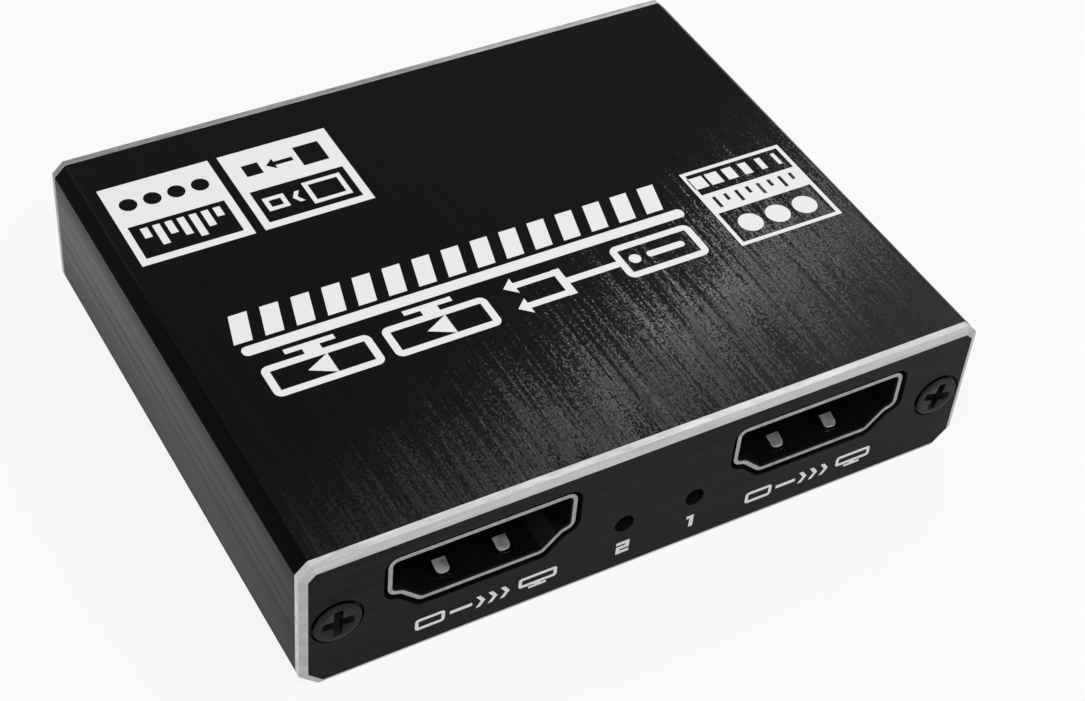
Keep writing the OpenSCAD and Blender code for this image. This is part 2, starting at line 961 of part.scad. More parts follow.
// Small capacitors in a row along each side of the splitter chip, under the board
module ceramic_capacitors() {
    color(ceramic_tan)
        for (turn = [0 : 90 : 270], i = [0 : ceramic_count - 1])
            rotate(turn)
                translate([(i - (ceramic_count - 1) / 2) * ceramic_pitch,
                           chip_w / 2 + ceramic_gap + ceramic_size.y / 2,
                           board_base - ceramic_size.z])
                    block(ceramic_size);
}

module at_ports() {
    for (x = [-output_x, output_x])
        translate([x, port_y, board_top]) children();
    at_rear() translate([input_x, port_y, board_top]) children();
}

module resistors() {
    color("#2a2a2c") at_ports()
        for (i = [0 : resistor_count - 1])
            translate([(i - (resistor_count - 1) / 2) * resistor_pitch, resistor_y + resistor_size.y / 2, 0])
                block(resistor_size);
}

module surge_arrays() {
    color("#2a2a2c") at_ports()
        for (x = [-surge_offset, surge_offset])
            translate([x, surge_y + surge_size.y / 2, 0]) block(surge_size);
}

sleeve();
front_plate();
rear_plate();
front_screws();
rear_screws();
circuit_board();
output_1_shell();
output_1_insulator();
output_1_contacts();
output_2_shell();
output_2_insulator();
output_2_contacts();
input_shell();
input_insulator();
input_contacts();
power_shell();
power_insulator();
power_contacts();
switch_body();
switch_cover();
switch_contacts();
slider_1();
slider_2();
slider_3();
slider_4();
wiper_1();
wiper_2();
wiper_3();
wiper_4();
output_1_light();
output_2_light();
power_light();
splitter_chip();
thermal_pad();
controller_chip();
memory_chip();
chip_leads();
crystal();
inductor();
step_down_regulator();
linear_regulator();
bulk_capacitors();
ceramic_capacitors();
resistors();
surge_arrays();
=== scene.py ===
"""Looks of a two-output video splitter box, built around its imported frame.

Lengths in the classes are millimetres, and meshes are made in metres.
+Z is up, the front plate faces -Y, and the origin is the centre of the base.
"""

import logging
import math
from dataclasses import dataclass, field, replace
from enum import Enum
from typing import Callable, Iterable, Optional, Sequence, Union

import bmesh
import bpy
from mathutils import Matrix, Quaternion, Vector


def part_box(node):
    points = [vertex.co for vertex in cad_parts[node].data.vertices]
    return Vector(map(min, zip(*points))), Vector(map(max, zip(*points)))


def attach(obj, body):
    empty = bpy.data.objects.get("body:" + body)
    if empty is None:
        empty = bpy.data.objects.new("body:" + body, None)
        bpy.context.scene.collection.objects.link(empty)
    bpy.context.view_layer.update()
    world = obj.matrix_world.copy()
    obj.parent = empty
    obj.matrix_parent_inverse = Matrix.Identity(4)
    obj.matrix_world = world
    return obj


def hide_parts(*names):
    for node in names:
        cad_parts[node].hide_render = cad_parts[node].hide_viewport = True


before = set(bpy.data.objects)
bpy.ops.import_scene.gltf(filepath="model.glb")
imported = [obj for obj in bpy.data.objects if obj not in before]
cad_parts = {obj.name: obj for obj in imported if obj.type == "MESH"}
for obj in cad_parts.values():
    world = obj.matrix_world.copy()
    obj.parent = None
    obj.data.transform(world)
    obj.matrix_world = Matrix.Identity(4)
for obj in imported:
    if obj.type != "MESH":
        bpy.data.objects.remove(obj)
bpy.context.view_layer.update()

LOG = logging.getLogger("splitter_box")
MM = 0.001
CASE_BODY = "case"
BRUSH_MAP = "brush"
MERGE_DISTANCE = 0.0005
FLAT_TURN = 0.4
STRAIGHT = 0.9
LEAST_ACROSS = 0.2

Point = tuple[float, float]
Place = tuple[float, float, float]
Box = tuple[float, float, float, float]
Colour = tuple[float, float, float]
Socket = bpy.types.NodeSocket
Feed = Union[Socket, float, Sequence[float]]


def corners(node: str) -> tuple[Vector, Vector]:
    """Gives a CAD node's lowest and highest corners in millimetres."""
    low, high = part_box(node)
    return Vector(low) / MM, Vector(high) / MM


HALF_WIDTH = corners("sleeve")[1].x
TOP = corners("sleeve")[1].z
FACE_Y = corners("rear_plate")[1].y


def grey(level: float, blue: Optional[float] = None) -> Colour:
    """Gives a grey, with a level of its own for blue if one is named."""
    return (level, level, level if blue is None else blue)


class Brushing(Enum):
    """Direction of the brush lines."""

    ALONG_DEPTH = (0.0, 1.0, 0.0)
    ALONG_WIDTH = (1.0, 0.0, 0.0)

    @property
    def axis(self) -> Vector:
        """The direction as a vector."""
        return Vector(self.value)

    def stretch(self, across: float, along: float) -> tuple[float, ...]:
        """Gives how often the grain changes per metre on X, Y and Z.

        Args:
            across: changes per metre across the lines.
            along: changes per metre along them.

        Returns:
            A factor for each axis.
        """
        return tuple(along if share else across for share in self.value)


class NodeSheet:
    """Adds nodes to one tree and feeds their sockets."""

    def __init__(self, tree: bpy.types.NodeTree) -> None:
        """Keeps the tree that the nodes go into."""
        self.tree = tree

    @classmethod
    def blank(cls, owner: Union[bpy.types.Material, bpy.types.World]) -> "NodeSheet":
        """Empties the tree of a material or world.

        Args:
            owner: the material or world.

        Returns:
            A sheet for its tree.
        """
        owner.use_nodes = True
        owner.node_tree.nodes.clear()
        return cls(owner.node_tree)

    def feed(self, node: bpy.types.Node, key: Union[str, int], value: Feed) -> None:
        """Links a socket to an input, or sets the input to a value.

        Args:
            node: the node that is fed.
            key: name or number of its input.
            value: the socket or value.
        """
        if isinstance(value, Socket):
            self.tree.links.new(value, node.inputs[key])
        else:
            node.inputs[key].default_value = value

    def add(
        self, kind: str, feeds: Optional[dict[Union[str, int], Feed]] = None, **settings: object
    ) -> bpy.types.Node:
        """Adds a node.

        Args:
            kind: Blender's name of the node type.
            feeds: a value or a socket for each input, by name or number.
            settings: properties of the node itself.

        Returns:
            The new node.
        """
        node = self.tree.nodes.new(kind)
        for name, value in settings.items():
            setattr(node, name, value)
        for key, value in (feeds or {}).items():
            self.feed(node, key, value)
        return node

    def ranged(
        self, value: Feed, low: float, high: float, to_low: float = 0.0, to_high: float = 1.0
    ) -> Socket:
        """Spreads a value over another range.

        Args:
            value: what is read.
            low: the reading that gives to_low.
            high: the reading that gives to_high.
            to_low: the result at low.
            to_high: the result at high.

        Returns:
            The socket of the result, held inside its range.
        """
        feeds = {"Value": value, "From Min": low, "From Max": high, "To Min": to_low, "To Max": to_high}
        return self.add("ShaderNodeMapRange", feeds).outputs["Result"]

    def maths(self, operation: str, first: Feed, second: Feed) -> Socket:
        """Joins two values by a sum, product or other operation, and returns the result's socket."""
        return self.add("ShaderNodeMath", {0: first, 1: second}, operation=operation).outputs[0]

    def vectors(self, operation: str, feeds: dict[Union[str, int], Feed]) -> Socket:
        """Works on vectors and returns the result's socket."""
        return self.add("ShaderNodeVectorMath", feeds, operation=operation).outputs[0]

    def tint(self, share: Feed, low: Colour, high: Colour) -> Socket:
        """Blends two colours by a share and returns the colour's socket."""
        feeds = {0: share, 6: (*low, 1.0), 7: (*high, 1.0)}
        return self.add("ShaderNodeMix", feeds, data_type="RGBA").outputs[2]


def shader_group(
    name: str, inputs: dict[str, str], outputs: Iterable[str]
) -> tuple[NodeSheet, bpy.types.Node, bpy.types.Node]:
    """Starts a shader node group.

    Args:
        name: name of the group.
        inputs: socket type of each named input.
        outputs: names of the outputs, which are plain values.

    Returns:
        The sheet to draw on, the node that holds the inputs and the node that takes the outputs.
    """
    tree = bpy.data.node_groups.new(name, "ShaderNodeTree")
    for label, kind in inputs.items():
        tree.interface.new_socket(label, in_out="INPUT", socket_type=kind)
    for label in outputs:
        tree.interface.new_socket(label, in_out="OUTPUT", socket_type="NodeSocketFloat")
    sheet = NodeSheet(tree)
    return sheet, sheet.add("NodeGroupInput"), sheet.add("NodeGroupOutput")


class Effects:
    """Shader node groups that several finishes share."""

    BRUSH_DETAIL = {"Lines": 2.0, "Streaks": 3.0, "Dashes": 1.0}
    BRUSH_ROUGHNESS = 0.65
    BRUSH_BAND = (0.29, 0.71)
    SMUDGE_DETAIL = 3.0
    SMUDGE_DISTORTION = 0.6
    SMUDGE_BAND = (0.35, 0.68)
    SPECK_SCALE = 2600.0
    SPECK_CHOICE = (0.86, 0.9)
    SPECK_EDGE = (0.32, 0.12)

    def __init__(self) -> None:
        """Builds each group once."""
        self.brush_lines = self._brush_lines()
        self.handling = self._handling()

    def _brush_lines(self) -> bpy.types.NodeTree:
        """Fine lines of a brushed surface, the broader streaks that they gather into, and short dashes.

        Returns:
            The group, with outputs Lines, Streaks and Dashes from 0 to 1.
        """
        labels = tuple(self.BRUSH_DETAIL)
        inputs = {label: "NodeSocketVector" for label in ("Vector", *labels)}
        sheet, given, out = shader_group("brush_lines", inputs, labels)
        for label, detail in self.BRUSH_DETAIL.items():
            spread = sheet.vectors("MULTIPLY", {0: given.outputs["Vector"], 1: given.outputs[label]})
            feeds = {"Vector": spread, "Scale": 1.0, "Detail": detail, "Roughness": self.BRUSH_ROUGHNESS}
            noise = sheet.add("ShaderNodeTexNoise", feeds)
            sheet.feed(out, label, sheet.ranged(noise.outputs["Fac"], *self.BRUSH_BAND))
        return sheet.tree

    def _handling(self) -> bpy.types.NodeTree:
        """Soft smudges left by fingers, and fine specks of dust.

        Returns:
            The group, with outputs Smudge and Specks from 0 to 1.
        """
        inputs = {"Vector": "NodeSocketVector", "Spread": "NodeSocketFloat"}
        sheet, given, out = shader_group("handling", inputs, ("Smudge", "Specks"))
        place = given.outputs["Vector"]
        feeds = {
            "Vector": place,
            "Scale": given.outputs["Spread"],
            "Detail": self.SMUDGE_DETAIL,
            "Distortion": self.SMUDGE_DISTORTION,
        }
        soft = sheet.add("ShaderNodeTexNoise", feeds)
        feeds = {"Vector": place, "Scale": self.SPECK_SCALE}
        dots = sheet.add("ShaderNodeTexVoronoi", feeds, feature="F1")
        choice = sheet.ranged(dots.outputs["Color"], *self.SPECK_CHOICE)
        dot = sheet.ranged(dots.outputs["Distance"], *self.SPECK_EDGE)
        sheet.feed(out, "Smudge", sheet.ranged(soft.outputs["Fac"], *self.SMUDGE_BAND))
        sheet.feed(out, "Specks", sheet.maths("MULTIPLY", choice, dot))
        return sheet.tree


EFFECTS = Effects()


@dataclass(frozen=True)
class Finish:
    """A surface with a grain, smudges and specks over two close colours."""

    GRAIN_DETAIL = 3.0
    GRAIN_BAND = (0.3, 0.7)

    name: str
    dark: Colour
    light: Colour
    rough: tuple[float, float] = (0.35, 0.5)
    metallic: float = 0.0
    specular: float = 0.5
    grain: float = 3000.0
    bump: float = 0.1
    depth: float = 0.01
    smudge: float = 120.0
    marks: float = 0.5

    def material(self) -> bpy.types.Material:
        """Gives the finish's material, which is made at its first use."""
        return bpy.data.materials.get(self.name) or self._made()

    def _made(self) -> bpy.types.Material:
        """Builds the material.

        Returns:
            A material on Object coordinates.
        """
        material = bpy.data.materials.new(self.name)
        sheet = NodeSheet.blank(material)
        place = sheet.add("ShaderNodeTexCoord").outputs["Object"]
        feeds = {"Metallic": self.metallic, "Specular IOR Level": self.specular}
        shader = sheet.add("ShaderNodeBsdfPrincipled", feeds)
        sheet.add("ShaderNodeOutputMaterial", {"Surface": shader.outputs[0]})
        self._dress(sheet, shader, place)
        return material

    def _dress(self, sheet: NodeSheet, shader: bpy.types.Node, place: Socket) -> None:
        """Feeds colour, roughness and bump.

        Args:
            sheet: where the nodes go.
            shader: the material's shader.
            place: the Object coordinates.
        """
        feeds = {"Vector": place, "Scale": self.grain, "Detail": self.GRAIN_DETAIL}
        height = sheet.add("ShaderNodeTexNoise", feeds).outputs["Fac"]
        self._surface(sheet, shader, place, height, sheet.ranged(height, *self.GRAIN_BAND))

    def _surface(
        self,
        sheet: NodeSheet,
        shader: bpy.types.Node,
        place: Socket,
        height: Socket,
        shade: Socket,
        normal: Optional[Socket] = None,
    ) -> None:
        """Puts a grain into colour, roughness and normal, with smudges and specks over it.

        Args:
            sheet: where the nodes go.
            shader: the material's shader.
            place: the Object coordinates.
            height: the grain's height.
            shade: share of the lighter colour.
            normal: direction that the bump starts from, or the face's own.
        """
        feeds = {"Vector": place, "Spread": self.smudge}
        marks = sheet.add("ShaderNodeGroup", feeds, node_tree=EFFECTS.handling).outputs
        specks = sheet.maths("MULTIPLY", marks["Specks"], self.marks)
        dusty = sheet.maths("MAXIMUM", shade, specks)
        grained = sheet.maths("MULTIPLY", shade, 1.0 - self.marks)
        smudged = sheet.maths("MULTIPLY", marks["Smudge"], self.marks)
        mixed = sheet.maths("ADD", grained, smudged)
        feeds = {"Strength": self.bump, "Distance": self.depth * MM, "Height": height}
        if normal is not None:
            feeds["Normal"] = normal
        bump = sheet.add("ShaderNodeBump", feeds)
        sheet.feed(shader, "Base Color", sheet.tint(dusty, self.dark, self.light))
        sheet.feed(shader, "Roughness", sheet.ranged(mixed, 0.0, 1.0, *self.rough))
        sheet.feed(shader, "Normal", bump.outputs["Normal"])


@dataclass(frozen=True)
class PaintedLightFade:
    """Painted light and shade as a gradient: the share of the lighter colour that is left between two places
    along an axis, in millimetres.
    """

    axis: str
    start: float
    end: float
    first: float
    last: float


@dataclass(frozen=True)
class BrushedFinish(Finish):
    """A surface with brush lines in one direction, whose streaks and dashes can lean a little along it."""

    bump: float = 0.25
    depth: float = 0.02
    brushing: Brushing = Brushing.ALONG_DEPTH
    lines: Point = (3000.0, 900.0)
    streaks: Point = (1100.0, 60.0)
    dashes: Point = (9000.0, 2200.0)
    mix: tuple[float, float, float] = (0.35, 0.65, 0.0)
    streak_lean: float = 0.0
    dash_lean: float = 0.0
    spread: float = 0.9
    painted_light_fades: tuple[PaintedLightFade, ...] = ()

    def _dress(self, sheet: NodeSheet, shader: bpy.types.Node, place: Socket) -> None:
        """Feeds colour, roughness and bump from the brush lines, with the gradients of painted light and
        shade over colour and roughness.

        Args:
            sheet: where the nodes go.
            shader: the material's shader.
            place: the Object coordinates.
        """
        scales = {"Lines": self.lines, "Streaks": self.streaks, "Dashes": self.dashes}
        feeds = {label: self.brushing.stretch(*scale) for label, scale in scales.items()}
        feeds["Vector"] = place
        brush = sheet.add("ShaderNodeGroup", feeds, node_tree=EFFECTS.brush_lines).outputs
        shares = [sheet.maths("MULTIPLY", brush[label], share) for label, share in zip(scales, self.mix)]
        shade = sheet.maths("ADD", sheet.maths("ADD", shares[0], shares[1]), shares[2])
        # Painted light and shade: each gradient scales the lighter colour's share along an axis.
        for fade in self.painted_light_fades:
            along = sheet.add("ShaderNodeSeparateXYZ", {0: place}).outputs[fade.axis]
            level = sheet.ranged(along, fade.start * MM, fade.end * MM, fade.first, fade.last)
            shade = sheet.maths("MULTIPLY", shade, level)
        sheet.feed(shader, "Anisotropic", self.spread)
        tangent = sheet.add("ShaderNodeTangent", direction_type="UV_MAP", uv_map=BRUSH_MAP)
        sheet.feed(shader, "Tangent", tangent.outputs["Tangent"])
        normal = self._leaning(sheet, brush["Streaks"], brush["Dashes"])
        self._surface(sheet, shader, place, brush["Lines"], shade, normal)

    def _leaning(self, sheet: NodeSheet, streaks: Socket, dashes: Socket) -> Optional[Socket]:
        """Leans the normal along the brushing where streaks and dashes run.

        Args:
            sheet: where the nodes go.
            streaks: strength of the streaks.
            dashes: strength of the dashes.

        Returns:
            The leaning normal, or nothing if the finish has no lean.
        """
        if not (self.streak_lean or self.dash_lean):
            return None
        streak = sheet.ranged(streaks, 0.0, 1.0, -self.streak_lean, self.streak_lean)
        dash = sheet.ranged(dashes, 0.0, 1.0, -self.dash_lean, self.dash_lean)
        lean = sheet.vectors("SCALE", {0: self.brushing.value, "Scale": sheet.maths("ADD", streak, dash)})
        upright = sheet.add("ShaderNodeNewGeometry").outputs["Normal"]
        return sheet.vectors("NORMALIZE", {0: sheet.vectors("ADD", {0: upright, 1: lean})})


@dataclass(frozen=True)
class BoardFinish(Finish):
    """Solder mask with raised tracks under it."""

    track: float = 900.0
    track_gap: float = 0.06
    track_length: float = 2.6
    track_pitch: float = 0.5
    track_shift: float = 0.37

    def _dress(self, sheet: NodeSheet, shader: bpy.types.Node, place: Socket) -> None:
        """Feeds colour, roughness and bump from the tracks.

        Args:
            sheet: where the nodes go.
            shader: the material's shader.
            place: the Object coordinates.
        """
        feeds = {
            "Vector": place,
            "Scale": self.track,
            "Mortar Size": self.track_gap,
            "Brick Width": self.track_length,
            "Row Height": self.track_pitch,
        }
        tracks = sheet.add("ShaderNodeTexBrick", feeds, offset=self.track_shift).outputs["Fac"]
        self._surface(sheet, shader, place, tracks, tracks)


ANODISED_SLEEVE = BrushedFinish(
    "brushed_black_sleeve", grey(0.0008, 0.0009), grey(0.0034, 0.0036),
    rough=(0.1, 0.32), specular=0.1, bump=0.2, smudge=55.0, marks=0.2, spread=0.97,
    lines=(5000.0, 40.0), streaks=(3600.0, 40.0), dashes=(6800.0, 4000.0), mix=(0.3, 0.5, 0.2),
    streak_lean=0.026, dash_lean=0.023,
)
# Lighter copy of the black sleeve finish for the upright sides: its grey colour is a painted reflection of
# the bright surroundings, and its gradients paint shade towards the front, near the base and near the top
# edge.
SIDE_PAINTED_LIGHT_AND_SHADE = BrushedFinish(
    "brushed_black_side", grey(0.002), grey(0.26, 0.262),
    rough=(0.26, 0.4), specular=0.024, bump=0.15, smudge=45.0,
    lines=(4200.0, 14.0), streaks=(700.0, 9.0), mix=(0.5, 0.5, 0.0),
    painted_light_fades=(
        PaintedLightFade("Y", -22.0, 16.0, 0.4, 1.0),
        PaintedLightFade("Z", 2.0, 9.0, 0.74, 1.0),
        PaintedLightFade("Z", 10.4, 12.1, 1.0, 0.4),
    ),
)
# Darker copy of the black sleeve finish, with a weaker gloss, for the chamfers: painted shade.
CHAMFER_PAINTED_SHADE = BrushedFinish(
    "brushed_black_chamfer", grey(0.0006), grey(0.002),
    rough=(0.24, 0.36), specular=0.045, bump=0.2, smudge=55.0,
)
# Black plate finish whose gradients paint shade towards the base and light towards the +X end.
PLATE_WITH_PAINTED_LIGHT_AND_SHADE = BrushedFinish(
    "brushed_black_plate", grey(0.0005), grey(0.0105, 0.0107),
    rough=(0.28, 0.4), specular=0.08, smudge=70.0, brushing=Brushing.ALONG_WIDTH, spread=0.7,
    lines=(3500.0, 110.0), streaks=(1500.0, 45.0),
    painted_light_fades=(PaintedLightFade("Z", 0.5, 4.5, 0.3, 1.0), PaintedLightFade("X", 12.0, 28.0, 1.0, 1.8)),
)
BARE_BEVEL = BrushedFinish(
    "bare_bevel", grey(0.4, 0.405), grey(0.58),
    rough=(0.38, 0.5), metallic=1.0, brushing=Brushing.ALONG_WIDTH, spread=0.3,
    lines=(3000.0, 300.0), streaks=(1600.0, 100.0),
)
# Lighter copy of the bare edge finish for the front plate's flat cut rim: its near-white colour is a painted
# highlight of the lamps, and its gradient paints that highlight dimming towards +X.
FRONT_EDGE_PAINTED_LIGHT = replace(
    BARE_BEVEL, name="raw_cut_edge", dark=grey(0.52, 0.525), light=grey(0.99),
    rough=(0.4, 0.55), metallic=0.35, bump=0.3,
    lines=(3000.0, 900.0), streaks=(1600.0, 300.0), painted_light_fades=(PaintedLightFade("X", 2.0, 26.0, 1.0, 0.35),),
)
# Darker copy of the bare edge finish for the rear plate's flat cut rim: painted shade, the metal being the
# same as the front rim's.
REAR_EDGE_PAINTED_SHADE = replace(
    BARE_BEVEL, name="dull_cut_edge", dark=grey(0.22, 0.225), light=grey(0.64, 0.645),
    lines=(3000.0, 900.0), streaks=(1600.0, 90.0),
)
SCREW_BLACK = Finish(
    "black_screw_finish", grey(0.002, 0.0021), grey(0.006, 0.0062),
    rough=(0.3, 0.42), specular=0.16, grain=5000.0,
)
PLATED_SHELL = Finish(
    "plated_socket_shell", grey(0.28, 0.285), grey(0.44), rough=(0.26, 0.4), metallic=1.0, grain=1800.0,
)
# Lighter copy of the shell plating for the spring fingers inside the mouths: painted light, for the light
# that their ramps catch.
FINGER_PAINTED_LIGHT = replace(
    PLATED_SHELL, name="bright_spring_finger", dark=grey(0.74, 0.75), light=grey(0.96), rough=(0.3, 0.45),
)
# Near-black colour for the insides of the socket shells and the screws' cross recesses: painted shade on
# metal that is the same as outside, not a lining.
HOLLOW_PAINTED_SHADE = Finish(
    "dark_lining", grey(0.002), grey(0.005), rough=(0.5, 0.65), specular=0.08, grain=5000.0,
)
BLACK_MOULDED = Finish(
    "black_moulded_plastic", grey(0.004, 0.0042), grey(0.012),
    rough=(0.45, 0.6), specular=0.4, grain=9000.0, bump=0.25,
)
WHITE_MOULDED = Finish(
    "white_moulded_plastic", grey(0.72, 0.7), grey(0.84, 0.82), grain=7000.0, bump=0.15,
)
GILT = Finish("gilt_contact", (0.66, 0.44, 0.15), (0.86, 0.62, 0.26), rough=(0.2, 0.34), metallic=1.0)
BOARD_MASK = BoardFinish(
    "board_mask", (0.005, 0.006, 0.006), (0.013, 0.015, 0.015), rough=(0.3, 0.42), bump=0.5, depth=0.03,
)
CHIP_BODY = Finish(
    "chip_body", grey(0.008, 0.009), grey(0.022, 0.023), rough=(0.5, 0.64), grain=12000.0, bump=0.3,
)
LIGHT_LENS = Finish("light_lens", grey(0.09), grey(0.16, 0.155), rough=(0.12, 0.24), grain=2000.0)
PAD_RUBBER = Finish(
    "thermal_pad_rubber", (0.2, 0.27, 0.34), (0.28, 0.36, 0.44), rough=(0.7, 0.85), grain=6000.0, bump=0.4,
)
CERAMIC = Finish("capacitor_ceramic", (0.36, 0.22, 0.1), (0.5, 0.33, 0.17), rough=(0.5, 0.66), grain=8000.0)
LEAD_METAL = Finish("tinned_lead", grey(0.5), grey(0.68, 0.67), rough=(0.28, 0.44), metallic=1.0)
TOP_INK = Finish(
    "white_top_ink", grey(0.95), grey(0.99), rough=(0.42, 0.58), specular=0.35, grain=9000.0, bump=0.12,
)
# Greyer copy of the white ink for the upright plates: painted shade, the print being the same as on the top.
PLATE_INK_PAINTED_SHADE = replace(TOP_INK, name="white_plate_ink", dark=grey(0.66), light=grey(0.74))


def merged(node: str) -> bmesh.types.BMesh:
    """Copies a CAD node's mesh with its loose triangles joined into flat faces.

    Args:
        node: name of the CAD node.

    Returns:
        A closed mesh in the shared frame.
    """
    mesh = bmesh.new()
    mesh.from_mesh(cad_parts[node].data)
    bmesh.ops.remove_doubles(mesh, verts=mesh.verts, dist=MERGE_DISTANCE * MM)
    bmesh.ops.dissolve_limit(
        mesh, angle_limit=math.radians(FLAT_TURN), verts=mesh.verts, edges=mesh.edges,
        use_dissolve_boundaries=False,
    )
    mesh.normal_update()
    return mesh


def soften(
    mesh: bmesh.types.BMesh,
    width: float,
    chosen: Optional[Callable[[bmesh.types.BMEdge], bool]] = None,
    segments: int = 2,
    least_turn: float = 25.0,
) -> None:
    """Rounds sharp edges.

    Args:
        mesh: the mesh to change.
        width: width of the rounding in millimetres.
        chosen: says whether a sharp edge is rounded. Without it, all are.
        segments: faces across the rounding.
        least_turn: smallest angle in degrees between the faces of a sharp edge.
    """
    limit = math.radians(least_turn)
    sharp = [e for e in mesh.edges if e.is_manifold and e.calc_face_angle(0.0) > limit]
    result = bmesh.ops.bevel(
        mesh, geom=[e for e in sharp if chosen is None or chosen(e)], offset=width * MM, offset_type="OFFSET",
        segments=segments, profile=0.5, affect="EDGES", clamp_overlap=True,
    )
    for face in result["faces"]:
        face.smooth = True


def middle(edge: bmesh.types.BMEdge) -> Vector:
    """Gives the middle of an edge in millimetres."""
    return (edge.verts[0].co + edge.verts[1].co) / (2 * MM)


def direction(edge: bmesh.types.BMEdge) -> Vector:
    """Gives the direction in which an edge runs."""
    return (edge.verts[1].co - edge.verts[0].co).normalized()


def lay_brush(mesh: bmesh.types.BMesh, axes: Sequence[Vector]) -> None:
    """Gives a mesh the map that turns its brushed gloss across the brush lines.

    Args:
        mesh: the mesh to change.
        axes: direction of the brush lines for each material number.
    """
    layer = mesh.loops.layers.uv.new(BRUSH_MAP)
    for face in mesh.faces:
        axis = axes[face.material_index]
        across = face.normal.cross(axis)
        if across.length < LEAST_ACROSS:
            across = face.normal.orthogonal()
            axis = across.cross(face.normal)
        for loop in face.loops:
            loop[layer].uv = (loop.vert.co.dot(across.normalized()) / MM, loop.vert.co.dot(axis) / MM)


def linked(name: str, data: bpy.types.ID) -> bpy.types.Object:
    """Makes an object and puts it into the scene.

    Args:
        name: its name.
        data: its mesh, camera or light.

    Returns:
        The object.
    """
    made = bpy.data.objects.new(name, data)
    bpy.context.scene.collection.objects.link(made)
    return made


def placed(data: bpy.types.Mesh, name: str, body: str, replaced: Sequence[str] = ()) -> None:
    """Puts a finished mesh on its body as a piece of the part.

    Args:
        data: the mesh, with its materials.
        name: name of the piece.
        body: CAD body that the piece rides on.
        replaced: CAD nodes that the piece stands for.
    """
    piece = linked(name, data)
    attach(piece, body)
    if replaced:
        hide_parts(*replaced)
    LOG.info("%s rides on %s with %d faces", name, body, len(data.polygons))


def finished(
    mesh: bmesh.types.BMesh,
    name: str,
    finishes: Sequence[Finish],
    body: str,
    replaced: Sequence[str] = (),
) -> None:
    """Turns a mesh into a piece of the part.

    Args:
        mesh: the mesh in the shared frame, which is used up.
        name: name of the piece.
        finishes: a finish for each material number of its faces.
        body: CAD body that the piece rides on.
        replaced: CAD nodes that the piece stands for.
    """
    if isinstance(finishes[0], BrushedFinish):
        lay_brush(mesh, [finish.brushing.axis for finish in finishes])
    data = bpy.data.meshes.new(name)
    mesh.to_mesh(data)
    mesh.free()
    for finish in finishes:
        data.materials.append(finish.material())
    placed(data, name, body, replaced)


def dress(node: str, finish: Finish) -> None:
    """Gives a CAD node that stays its finish.

    Args:
        node: name of the node.
        finish: its finish.
    """
    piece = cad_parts[node]
    if not piece.material_slots:
        piece.data.materials.append(None)
    for slot in piece.material_slots:
        slot.material = finish.material()
    LOG.info("%s dressed with %s", node, finish.name)


@dataclass(frozen=True)
class Seat:
    """Where a copy of a repeated shape goes, and how it is turned in degrees."""

    place: Place
    turn: Place = (0.0, 0.0, 0.0)


